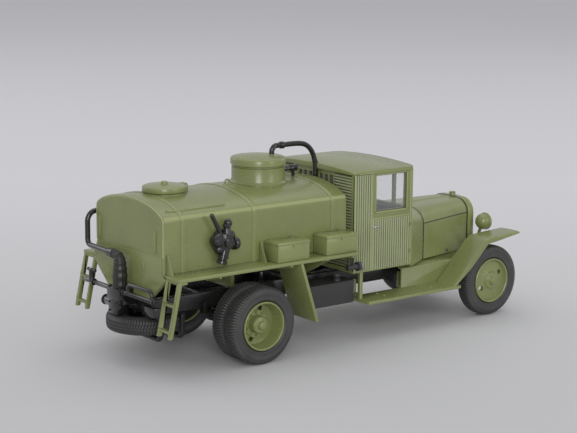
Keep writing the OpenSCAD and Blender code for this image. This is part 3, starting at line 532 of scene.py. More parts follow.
class Effects:
    """Shader node groups that several finishes share, each built once."""

    made: dict[str, bpy.types.NodeTree] = {}

    @classmethod
    def group(
        cls, name: str, inputs: dict[str, tuple[str, object]], outputs: dict[str, str]
    ) -> tuple[bpy.types.NodeTree, bpy.types.Node, bpy.types.Node]:
        """Starts an empty node group.

        Args:
            name: Name of the group.
            inputs: Socket type and default of each named input.
            outputs: Socket type of each named output.

        Returns:
            The group with its input and output nodes.
        """
        tree = bpy.data.node_groups.new(name, "ShaderNodeTree")
        for label, (kind, value) in inputs.items():
            socket = tree.interface.new_socket(name=label, in_out="INPUT", socket_type=kind)
            socket.default_value = value
        for label, kind in outputs.items():
            tree.interface.new_socket(name=label, in_out="OUTPUT", socket_type=kind)
        cls.made[name] = tree
        return tree, tree.nodes.new("NodeGroupInput"), tree.nodes.new("NodeGroupOutput")

    @classmethod
    def cloud(cls) -> bpy.types.NodeTree:
        """Builds the broad, uneven tone of sprayed or moulded surfaces.

        Returns:
            A group that lightens and darkens a colour in soft clouds and gives their mask.
        """
        if "tone clouds" in cls.made:
            return cls.made["tone clouds"]
        tree, start, end = cls.group(
            "tone clouds",
            {
                "Color": ("NodeSocketColor", (0.5, 0.5, 0.5, 1)),
                "Scale": ("NodeSocketFloat", 120.0),
                "Amount": ("NodeSocketFloat", 0.15),
            },
            {"Color": "NodeSocketColor", "Mask": "NodeSocketFloat"},
        )
        where = tree.nodes.new("ShaderNodeTexCoord")
        noise = tree.nodes.new("ShaderNodeTexNoise")
        noise.inputs["Detail"].default_value = 5
        noise.inputs["Roughness"].default_value = 0.62
        spread = tree.nodes.new("ShaderNodeMapRange")
        spread.inputs["From Min"].default_value = 0.3
        spread.inputs["From Max"].default_value = 0.7
        spread.inputs["To Min"].default_value = -1.0
        level = tree.nodes.new("ShaderNodeMath")
        level.operation = "MULTIPLY_ADD"
        level.inputs[2].default_value = 1.0
        shade = tree.nodes.new("ShaderNodeMix")
        shade.data_type = "RGBA"
        shade.blend_type = "MULTIPLY"
        shade.inputs["Factor"].default_value = 1.0
        tree.links.new(where.outputs["Object"], noise.inputs["Vector"])
        tree.links.new(start.outputs["Scale"], noise.inputs["Scale"])
        tree.links.new(noise.outputs["Fac"], spread.inputs["Value"])
        tree.links.new(spread.outputs["Result"], level.inputs[0])
        tree.links.new(start.outputs["Amount"], level.inputs[1])
        tree.links.new(start.outputs["Color"], shade.inputs["A"])
        tree.links.new(level.outputs["Value"], shade.inputs["B"])
        tree.links.new(shade.outputs["Result"], end.inputs["Color"])
        tree.links.new(noise.outputs["Fac"], end.inputs["Mask"])
        return tree

    @classmethod
    def grain(cls) -> bpy.types.NodeTree:
        """Builds the fine unevenness of a surface.

        Returns:
            A group that gives a height for bumps and a roughness around a middle value.
        """
        if "fine grain" in cls.made:
            return cls.made["fine grain"]
        tree, start, end = cls.group(
            "fine grain",
            {
                "Scale": ("NodeSocketFloat", 3000.0),
                "Roughness": ("NodeSocketFloat", 0.4),
                "Spread": ("NodeSocketFloat", 0.1),
            },
            {"Height": "NodeSocketFloat", "Roughness": "NodeSocketFloat"},
        )
        where = tree.nodes.new("ShaderNodeTexCoord")
        noise = tree.nodes.new("ShaderNodeTexNoise")
        noise.inputs["Detail"].default_value = 3
        middle = tree.nodes.new("ShaderNodeMath")
        middle.operation = "SUBTRACT"
        middle.inputs[1].default_value = 0.5
        gloss = tree.nodes.new("ShaderNodeMath")
        gloss.operation = "MULTIPLY_ADD"
        tree.links.new(where.outputs["Object"], noise.inputs["Vector"])
        tree.links.new(start.outputs["Scale"], noise.inputs["Scale"])
        tree.links.new(noise.outputs["Fac"], middle.inputs[0])
        tree.links.new(middle.outputs["Value"], gloss.inputs[0])
        tree.links.new(start.outputs["Spread"], gloss.inputs[1])
        tree.links.new(start.outputs["Roughness"], gloss.inputs[2])
        tree.links.new(noise.outputs["Fac"], end.inputs["Height"])
        tree.links.new(gloss.outputs["Value"], end.inputs["Roughness"])
        return tree

    @classmethod
    def recess_shade(cls) -> bpy.types.NodeTree:
        """Builds the painted shade that darkens seams and corners which ambient occlusion finds closed in.

        Returns:
            A group that darkens a colour as painted shade where the surface is closed in.
        """
        if "recess wash" in cls.made:
            return cls.made["recess wash"]
        tree, start, end = cls.group(
            "recess wash",
            {
                "Color": ("NodeSocketColor", (0.5, 0.5, 0.5, 1)),
                "Wash": ("NodeSocketColor", (0.02, 0.02, 0.01, 1)),
                "Reach": ("NodeSocketFloat", 0.0004),
                "Amount": ("NodeSocketFloat", 0.7),
            },
            {"Color": "NodeSocketColor"},
        )
        shade = tree.nodes.new("ShaderNodeAmbientOcclusion")
        shade.samples = 8
        closed = tree.nodes.new("ShaderNodeMapRange")
        closed.inputs["From Min"].default_value = 0.25
        closed.inputs["From Max"].default_value = 0.75
        closed.inputs["To Min"].default_value = 1.0
        closed.inputs["To Max"].default_value = 0.0
        depth = tree.nodes.new("ShaderNodeMath")
        depth.operation = "MULTIPLY"
        mix = tree.nodes.new("ShaderNodeMix")
        mix.data_type = "RGBA"
        tree.links.new(start.outputs["Reach"], shade.inputs["Distance"])
        tree.links.new(shade.outputs["AO"], closed.inputs["Value"])
        tree.links.new(closed.outputs["Result"], depth.inputs[0])
        tree.links.new(start.outputs["Amount"], depth.inputs[1])
        tree.links.new(depth.outputs["Value"], mix.inputs["Factor"])
        tree.links.new(start.outputs["Color"], mix.inputs["A"])
        tree.links.new(start.outputs["Wash"], mix.inputs["B"])
        tree.links.new(mix.outputs["Result"], end.inputs["Color"])
        return tree

    @classmethod
    def edge_wear_and_highlight(cls) -> bpy.types.NodeTree:
        """Builds the paler look of outer edges, which stands for edge wear and painted edge highlights.

        Returns:
            A group that lightens a colour along the surface's outer edges.
        """
        if "rubbed edges" in cls.made:
            return cls.made["rubbed edges"]
        tree, start, end = cls.group(
            "rubbed edges",
            {
                "Color": ("NodeSocketColor", (0.5, 0.5, 0.5, 1)),
                "Edge": ("NodeSocketColor", (0.6, 0.6, 0.6, 1)),
                "Amount": ("NodeSocketFloat", 0.4),
            },
            {"Color": "NodeSocketColor"},
        )
        form = tree.nodes.new("ShaderNodeNewGeometry")
        edge = tree.nodes.new("ShaderNodeMapRange")
        edge.inputs["From Min"].default_value = 0.53
        edge.inputs["From Max"].default_value = 0.62
        depth = tree.nodes.new("ShaderNodeMath")
        depth.operation = "MULTIPLY"
        mix = tree.nodes.new("ShaderNodeMix")
        mix.data_type = "RGBA"
        tree.links.new(form.outputs["Pointiness"], edge.inputs["Value"])
        tree.links.new(edge.outputs["Result"], depth.inputs[0])
        tree.links.new(start.outputs["Amount"], depth.inputs[1])
        tree.links.new(depth.outputs["Value"], mix.inputs["Factor"])
        tree.links.new(start.outputs["Color"], mix.inputs["A"])
        tree.links.new(start.outputs["Edge"], mix.inputs["B"])
        tree.links.new(mix.outputs["Result"], end.inputs["Color"])
        return tree


def linear(red: int, green: int, blue: int) -> tuple[float, float, float, float]:
    """Turns a colour of 0 to 255 into a linear one with full opacity."""
    shares = [c / 255 for c in (red, green, blue)]
    return (*[c / 12.92 if c <= 0.04045 else ((c + 0.055) / 1.055) ** 2.4 for c in shares], 1.0)


@dataclass(frozen=True)
class Finish:
    """A painted, moulded or rubber surface.

    Attributes:
        name: Name of the material.
        slot: The record's material slot; not used.
        color: Colour as red, green and blue of 0 to 255.
        roughness: Middle roughness.
        spread: How far the roughness varies.
        cloud: Strength of the uneven tone.
        wash: Strength of the painted shade in hollows and seams.
        edge: Strength of the paler edges, which stand for edge wear and painted edge highlights.
        grain: Depth of the fine grain, in millimetres.
        grain_scale: Fineness of the grain.
        metallic: Share of bare metal.
        coat: Weight of a clear coat.
        gloss: Strength of its mirror-like reflection.
    """

    name: str
    slot: str
    color: tuple[int, int, int]
    roughness: float
    spread: float = 0.12
    cloud: float = 0.08
    wash: float = 0.6
    edge: float = 0.3
    grain: float = 0.01
    grain_scale: float = 2600.0
    metallic: float = 0.0
    coat: float = 0.0
    gloss: float = 0.5

    def material(self) -> bpy.types.Material:
        """Builds the material on first use.

        Returns:
            The material.
        """
        found = bpy.data.materials.get(self.name)
        if found:
            return found
        material = bpy.data.materials.new(self.name)
        material.use_nodes = True
        nodes, links = material.node_tree.nodes, material.node_tree.links
        shader = nodes["Principled BSDF"]
        color = linear(*self.color)

        def place(tree: bpy.types.NodeTree) -> bpy.types.Node:
            """Adds a shared effect to the material.

            Args:
                tree: The effect's node group.

            Returns:
                The node that holds it.
            """
            node = nodes.new("ShaderNodeGroup")
            node.node_tree = tree
            return node

        cloud, edge_wear_and_highlight, recess_shade, grain = (
            place(tree) for tree in (Effects.cloud(), Effects.edge_wear_and_highlight(), Effects.recess_shade(), Effects.grain())
        )
        cloud.inputs["Color"].default_value = color
        cloud.inputs["Amount"].default_value = self.cloud
        # The paler colour for outer edges stands for edge wear and painted edge highlights.
        edge_wear_and_highlight.inputs["Edge"].default_value = tuple(min(1.0, 1.5 * c + 0.02) for c in color)
        edge_wear_and_highlight.inputs["Amount"].default_value = self.edge
        # Painted shade: a darkened copy of the colour, laid where ambient occlusion finds the surface closed
        # in.
        recess_shade.inputs["Wash"].default_value = tuple(0.12 * c for c in color[:3]) + (1.0,)
        recess_shade.inputs["Amount"].default_value = self.wash
        grain.inputs["Scale"].default_value = self.grain_scale
        grain.inputs["Roughness"].default_value = self.roughness
        grain.inputs["Spread"].default_value = self.spread
        bump = nodes.new("ShaderNodeBump")
        bump.inputs["Strength"].default_value = 0.35
        bump.inputs["Distance"].default_value = self.grain * MM
        links.new(cloud.outputs["Color"], edge_wear_and_highlight.inputs["Color"])
        links.new(edge_wear_and_highlight.outputs["Color"], recess_shade.inputs["Color"])
        links.new(recess_shade.outputs["Color"], shader.inputs["Base Color"])
        links.new(grain.outputs["Roughness"], shader.inputs["Roughness"])
        links.new(grain.outputs["Height"], bump.inputs["Height"])
        links.new(bump.outputs["Normal"], shader.inputs["Normal"])
        shader.inputs["Metallic"].default_value = self.metallic
        shader.inputs["Coat Weight"].default_value = self.coat
        shader.inputs["Specular IOR Level"].default_value = self.gloss
        return material


@dataclass(frozen=True)
class Glazing:
    """Clear moulded glazing.

    Attributes:
        name: Name of the material.
        slot: The record's material slot; not used.
        color: Tint as red, green and blue of 0 to 255.
        alpha: How much of the surface stays opaque.
        roughness: Middle roughness.
    """

    name: str
    slot: str
    color: tuple[int, int, int]
    alpha: float
    roughness: float

    def material(self) -> bpy.types.Material:
        """Builds the material on first use.

        Returns:
            The material.
        """
        found = bpy.data.materials.get(self.name)
        if found:
            return found
        material = bpy.data.materials.new(self.name)
        material.use_nodes = True
        nodes, links = material.node_tree.nodes, material.node_tree.links
        shader = nodes["Principled BSDF"]
        cloud = nodes.new("ShaderNodeGroup")
        cloud.node_tree = Effects.cloud()
        cloud.inputs["Color"].default_value = linear(*self.color)
        cloud.inputs["Amount"].default_value = 0.05
        grain = nodes.new("ShaderNodeGroup")
        grain.node_tree = Effects.grain()
        grain.inputs["Scale"].default_value = 300.0
        grain.inputs["Roughness"].default_value = self.roughness
        grain.inputs["Spread"].default_value = 0.04
        links.new(cloud.outputs["Color"], shader.inputs["Base Color"])
        links.new(grain.outputs["Roughness"], shader.inputs["Roughness"])
        shader.inputs["Alpha"].default_value = self.alpha
        return material


PAINT = Finish(
    "olive paint", "green_paint", (122, 130, 80), 0.27, 0.03, wash=0.6, edge=0.3, grain=0.002, gloss=0.65
)
# Paler paint for the slats' faces, a painted sheen.
SLAT_SHEEN = Finish(
    "brushed slats", "green_paint", (147, 154, 117), 0.27, 0.03, wash=0.6, edge=0.4, grain=0.002, gloss=0.65
)
# Pale paint for painted highlights on the tank's shoulders, the door mouldings and the roof's drip moulding.
PALE_HIGHLIGHT = Finish(
    "worn paint", "green_paint", (143, 148, 100), 0.27, 0.03, wash=0.4, edge=0.2, grain=0.002, gloss=0.65
)
# Pale paint for the bead along the tank's rear rim, a painted highlight.
RIM_HIGHLIGHT = Finish("rubbed paint", "green_paint", (158, 158, 116), 0.3, 0.03, wash=0.2, edge=0.2, grain=0.002)
SHADE = Finish("shaded groove", "green_paint", (74, 80, 50), 0.5, cloud=0.1, wash=0.5, edge=0.1, grain=0.004)
# Dark paint for the sheets behind the door and quarter slats, painted shade in their gaps.
GROOVE_SHADE = Finish(
    "door groove paint", "green_paint", (92, 98, 64), 0.5, cloud=0.1, wash=0.5, edge=0.1, grain=0.004
)
BLACK = Finish(
    "black plastic", "black_plastic", (23, 23, 23), 0.28, cloud=0.2, wash=0.6, edge=0.3, grain=0.01
)
GLOSS = Finish(
    "gloss black", "black_plastic", (24, 24, 24), 0.15, cloud=0.2, wash=0.5, edge=0.3, grain=0.004, coat=0.4
)
GREY = Finish("dark grey plastic", "grey_plastic", (48, 48, 48), 0.5, cloud=0.15, wash=0.5, edge=0.3)
RUBBER = Finish("tyre rubber", "tyre_rubber", (60, 59, 58), 0.5, cloud=0.25, wash=0.9, edge=0.4, grain=0.01)
TRIM = Finish("cab trim", "cab_trim", (38, 36, 34), 0.6, cloud=0.2, wash=0.6, edge=0.2, grain=0.03)
BRAID = Finish("hose braid", "black_plastic", (40, 38, 36), 0.34, cloud=0.3, wash=0.9, edge=0.5, grain=0.03)
BRIGHT = Finish("bright metal", "lens_glass", (205, 205, 205), 0.25, cloud=0.05, edge=0.1, metallic=1.0)
STEEL = Finish("dull steel", "grey_plastic", (120, 120, 122), 0.4, cloud=0.2, edge=0.3, metallic=0.6)
GLASS = Glazing("cab glazing", "clear_glass", (225, 230, 232), 0.1, 0.05)
LENS = Glazing("lamp lens", "lens_glass", (225, 228, 220), 0.45, 0.08)
SLOT_FINISH = {
    "green_paint": PAINT,
    "black_plastic": BLACK,
    "grey_plastic": GREY,
    "cab_trim": TRIM,
    "tyre_rubber": RUBBER,
    "clear_glass": GLASS,
    "lens_glass": LENS,
}


@dataclass
class Tyre:
    """Road tyre with two rows of shoulder lugs and a zigzag middle.

    Attributes:
        radius: Outer radius.
        bead: Radius where it meets the rim.
        half: Half its width.
        lugs: Lugs round the tyre.
        depth: Depth of the tread.
    """

    radius: float
    bead: float
    half: float
    lugs: int = 84
    depth: float = 0.24

    def profile(self) -> list[tuple[float, float, str]]:
        """Gives the section from the inner bead over the tread to the outer bead.

        Returns:
            Radius, distance from the middle plane and tread row of each point.
        """
        r, b, w = self.radius, self.bead, self.half
        side = [
            (b + 0.02, -w + 0.75, "wall"),
            (b + 0.25, -w + 0.32, "wall"),
            (b + 0.6, -w + 0.16, "wall"),
            (b + 0.68, -w + 0.1, "wall"),
            (b + 0.82, -w + 0.1, "wall"),
            (b + 0.9, -w + 0.14, "wall"),
            (b + 1.5, -w + 0.02, "wall"),
            (b + 2.1, -w + 0.0, "wall"),
            (b + 2.2, -w - 0.04, "wall"),
            (b + 2.35, -w - 0.04, "wall"),
            (b + 2.45, -w + 0.02, "wall"),
            (r - 1.25, -w + 0.07, "shoulder"),
            (r - 0.85, -w + 0.17, "shoulder"),
            (r - 0.5, -w + 0.36, "shoulder"),
            (r - 0.24, -w + 0.62, "shoulder"),
            (r - 0.1, -w + 0.92, "shoulder"),
            (r - 0.05, -w + 1.25, "shoulder"),
            (r - 0.26, -w + 1.31, "groove"),
            (r - 0.26, -w + 1.5, "groove"),
            (r - 0.02, -w + 1.56, "middle"),
            (r, -0.14, "middle"),
            (r - 0.2, -0.1, "groove"),
        ]
        return side + [(radius, -across, row) for radius, across, row in reversed(side)]

    def add_to(self, shape: Shape, place: Matrix) -> None:
        """Adds the tyre, turning about the place's z axis.

        Args:
            shape: The shape that takes it.
            place: Its middle and axle.
        """
        sections = []
        steps = 4 * self.lugs
        profile = self.profile()
        for k in range(steps):
            c, s = math.cos(math.tau * k / steps), math.sin(math.tau * k / steps)
            ring = []
            for radius, across, row in profile:
                phase = k + (2 if across > 0 else 0) + (1 if row == "middle" else 0)
                gap = row in ("shoulder", "middle") and phase % 4 == 3
                sunk = radius - self.depth if gap else radius
                inward = 0.06 if gap and row == "shoulder" else 0.0
                ring.append((sunk * c, sunk * s, across - math.copysign(inward, across)))
            sections.append(ring)
        shape.loft(sections, place, looped=True)


@dataclass
class Wheels:
    """The rolling wheels and the spare.

    Attributes:
        stud_ring: Radius of the ring of rear wheel studs.
        studs: Studs of a rear wheel.
        hub_ring: Radius of the ring of nuts round a hub's cap.
        hub_nuts: Nuts in that ring.
    """

    stud_ring: float = 3.2
    studs: int = 10
    hub_ring: float = 1.8
    hub_nuts: int = 6

    def build(self) -> None:
        """Builds tyres and wheel furniture for every axle end."""
        for side in Side:
            end = side.name.lower()
            self.tyres(f"front_{end}_tyre", f"front_{end}_wheel", 1)
            self.tyres(f"rear_{end}_tyres", f"rear_{end}_wheels", 2)
            self.front_hub(f"front_{end}_spin", f"front_{end}_wheel", side)
            self.rear_hub(f"rear_{end}_spin", f"rear_{end}_tyres", f"rear_{end}_wheels", side)
        self.spare()

    def tyres(self, node: str, body: str, count: int) -> None:
        """Builds the treaded tyres of one hub.

        Args:
            node: The CAD node that they stand for.
            body: The body that carries them.
            count: One tyre, or two for a twin.
        """
        box = Span.of(node)
        radius = (box.high.z - box.low.z) / 2
        width = TYRE_WIDTH
        spare_room = (box.high.y - box.low.y) - count * width
        shape = Shape()
        for i in range(count):
            y = box.low.y + width / 2 + i * (width + spare_room)
            place = facing((box.middle.x, y, box.middle.z), (0, 1, 0))
            Tyre(radius, RIM_RADIUS, width / 2).add_to(shape, place)
        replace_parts(shape.piece(f"treaded_{node}", RUBBER, body, 40), node)

    def front_hub(self, joint: str, body: str, side: Side) -> None:
        """Builds the nuts, cap and rim bead of a front wheel.

        Args:
            joint: The wheel's joint.
            body: The body that carries them.
            side: Side of the truck.
        """
        hub = Datum.joints[joint]
        out = Vector((0, side.value, 0))
        place = facing(hub, out)
        shape = Shape()
        for k in range(self.hub_nuts):
            spot = hub + out * 2.12 + self.ray(k / self.hub_nuts) * self.hub_ring
            shape.nut(facing(spot, out), 0.28, 0.2, 0.12)
        cap = [(0, 2.7), (1.0, 2.7), (1.0, 2.95), (0.85, 3.12), (0.5, 3.2), (0, 3.22)]
        shape.lathe(cap, place, 40)
        shape.ring([(2.62, 1.62), (2.86, 1.62), (2.86, 1.74), (2.74, 1.8), (2.62, 1.76)], place, 64)
        shape.ring(RIM_BEAD, place, 96)
        shape.piece(f"front_hub_{side.name.lower()}", PAINT, body)

    def ray(self, share: float) -> Vector:
        """Gives a direction across the axle, by its share of a full turn from straight ahead."""
        return Vector((math.cos(math.tau * share), 0, math.sin(math.tau * share)))

    def rear_hub(self, joint: str, node: str, body: str, side: Side) -> None:
        """Builds the studs, cap and rim bead of a twin rear wheel, with a black disc inside as painted shade.

        Args:
            joint: The wheel's joint.
            node: The node of its tyres.
            body: The body that carries them.
            side: Side of the truck.
        """
        hub = Datum.joints[joint]
        box = Span.of(node)
        reach = max(abs(box.low.y), abs(box.high.y)) - TYRE_WIDTH / 2
        out = Vector((0, side.value, 0))
        centre = Vector((hub.x, side.value * reach, hub.z))
        place = facing(centre, out)
        shape = Shape()
        for k in range(self.studs):
            foot = centre - out * 1.6 + self.ray((k + 0.5) / self.studs) * self.stud_ring
            shape.nut(facing(foot, out), 0.36, 0.34, 0.3)
        for k in range(self.hub_nuts):
            spot = centre + out * 0.6 + self.ray(k / self.hub_nuts) * self.hub_ring
            shape.nut(facing(spot, out), 0.26, 0.2, 0.1)
        shape.ring([(2.45, -1.9), (3.8, -1.9), (3.8, -1.68), (3.68, -1.56), (2.45, -1.56)], place, 64)
        cap = [(0, 1.3), (0.95, 1.3), (0.95, 1.58), (0.8, 1.72), (0.4, 1.78), (0, 1.8)]
        shape.lathe(cap, place, 40)
        shape.ring(RIM_BEAD, place, 96)
        shape.piece(f"rear_hub_{side.name.lower()}", PAINT, body)
        # A black drum-shaped disc on the inner side darkens the inner wheel's back, painted shade.
        drum = [(0, 0.0), (5.2, 0.0), (5.7, 0.15), (6.0, 0.5), (6.0, 1.7), (0, 1.7)]
        inner = Vector((hub.x, side.value * (min(abs(box.low.y), abs(box.high.y)) + 0.3), hub.z))
        Shape().lathe(drum, facing(inner, out), 64).piece(f"brake_drum_{side.name.lower()}", BLACK, body)

    def spare(self) -> None:
        """Builds the spare wheel's tyre."""
        box = Span.of("spare_tyre")
        shape = Shape()
        radius = (box.high.x - box.low.x) / 2
        Tyre(radius, RIM_RADIUS, (box.high.z - box.low.z) / 2).add_to(shape, facing(box.middle, (0, 0, 1)))
        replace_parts(shape.piece("treaded_spare_tyre", RUBBER, crease=40), "spare_tyre")


@dataclass
class Chassis:
    """Frame, axles, springs and what hangs below the deck.

    Attributes:
        rivet_pitch: Distance between rivets along a rail.
        rivet_r: Radius of a rivet head.
    """

    rivet_pitch: float = 3.4
    rivet_r: float = 0.22

    def build(self) -> None:
        """Rounds the solids of the chassis and adds its fasteners."""
        for node, width in (
            ("chassis_frame", 0.1),
            ("front_axle", 0.1),
            ("rear_axle", 0.12),
            ("leaf_springs", 0.05),
            ("drive_shaft", 0.08),
            ("engine_underside", 0.2),
            ("exhaust", 0.0),
            ("spare_disc", 0.08),
            ("spare_carrier", 0.08),
        ):
            softened(node, SLOT_FINISH[Datum.slots[node]], width)
        softened("side_box", GREY, 0.28)
        self.rivets()
        self.spring_clamps()
        self.axle_cover()
        self.side_box_lid()
        self.exhaust_clamps()

    def rivets(self) -> None:
        """Builds the rows of rivets along the rails."""
        rail = Span.of("chassis_frame")
        side = RAIL_Y
        shape = Shape()
        count = int((rail.high.x - rail.low.x - 4) / self.rivet_pitch)
        for i in range(count):
            x = rail.low.x + 2 + i * self.rivet_pitch
            for z in (FRAME_TOP - 0.9, FRAME_TOP - 3.3):
                shape.rivet(facing((x, side, z), (0, 1, 0)), self.rivet_r)
        shape.with_mirror().piece("rail_rivets", BLACK)

    def spring_clamps(self) -> None:
        """Builds the clamps that bind the leaves at each axle."""
        shape = Shape()
        axles = (
            (Datum.joints["rear_left_spin"].x, REAR_SPRING_Y),
            (Datum.joints["front_left_spin"].x, FRONT_SPRING_Y),
        )
        for axle_x, y in axles:
            z = AXLE_Z + 1.2
            for dx in (-1.5, 1.5):
                x = axle_x + dx
                low, high = z - 1.6, z + 2.1
                path = [(x, y - 0.95, low), (x, y - 0.95, high - 0.4), (x, y - 0.6, high), (x, y + 0.6, high)]
                path += [(x, y + 0.95, high - 0.4), (x, y + 0.95, low)]
                shape.tube(path, 0.16, 8)
                for dy in (-0.95, 0.95):
                    shape.nut(facing((x, y + dy, low + 0.3), (0, 0, -1)), 0.3, 0.3, 0.1)
        shape.with_mirror().piece("spring_clamps", BLACK)

    def axle_cover(self) -> None:
        """Builds the bolted cover at the back of the rear axle's case."""
        axle = Span.of("rear_axle")
        middle = Vector((axle.low.x, 0, AXLE_Z))
        shape = Shape()
        reach = 3.2
        cover = [(0, -0.5), (2.3, -0.5), (2.3, 0.1), (1.9, 0.32), (0.9, 0.46), (0, 0.5)]
        shape.lathe([(r, h - 0.4) for r, h in cover], facing(middle, (-1, 0, 0)), 40)
        for k in range(10):
            angle = math.tau * k / 10
            spot = middle + Vector((0.45, 2.05 * math.cos(angle), 2.05 * math.sin(angle)))
            shape.nut(facing(spot, (-1, 0, 0)), 0.2, 0.26)
        flange = [(2.9, -0.3), (reach + 0.12, -0.3), (reach + 0.12, 0.3), (2.9, 0.3)]
        shape.ring(flange, facing((0, 0, AXLE_Z), (1, 0, 0)), 48)
        shape.piece("axle_cover", BLACK)

    def side_box_lid(self) -> None:
        """Builds the lid and cap of the box beside the frame."""
        box = Span.of("side_box")
        front, top = box.low.y, FRAME_BOT + 2.8
        low = (box.low.x - 0.06, front - 0.06, top - 0.35)
        high = (box.high.x + 0.06, -RAIL_Y - 0.2, top + 0.1)
        Shape().block(low, high, 0.1).piece("side_box_lid", GREY)
        cap = Vector((box.high.x - 4.5, -14.5, box.high.z - 0.3))
        knob = [(0, 0), (1.0, 0), (1.08, 0.12), (1.08, 0.34), (0.95, 0.46), (0.3, 0.5), (0, 0.5)]
        Shape().lathe(knob, facing(cap, (0, 0, 1)), 24).piece("side_box_cap", STEEL)

    def exhaust_clamps(self) -> None:
        """Builds the bands and seams of the silencer."""
        y = RAIL_Y + 3.4
        shape = Shape()
        for x in (23.4, 28.5, 33.6):
            band = [(1.86, -0.35), (2.0, -0.35), (2.04, 0), (2.0, 0.35), (1.86, 0.35)]
            shape.ring(band, facing((x, y, FRAME_BOT - 0.4), (1, 0, 0)), 40)
        shape.piece("silencer_bands", BLACK)


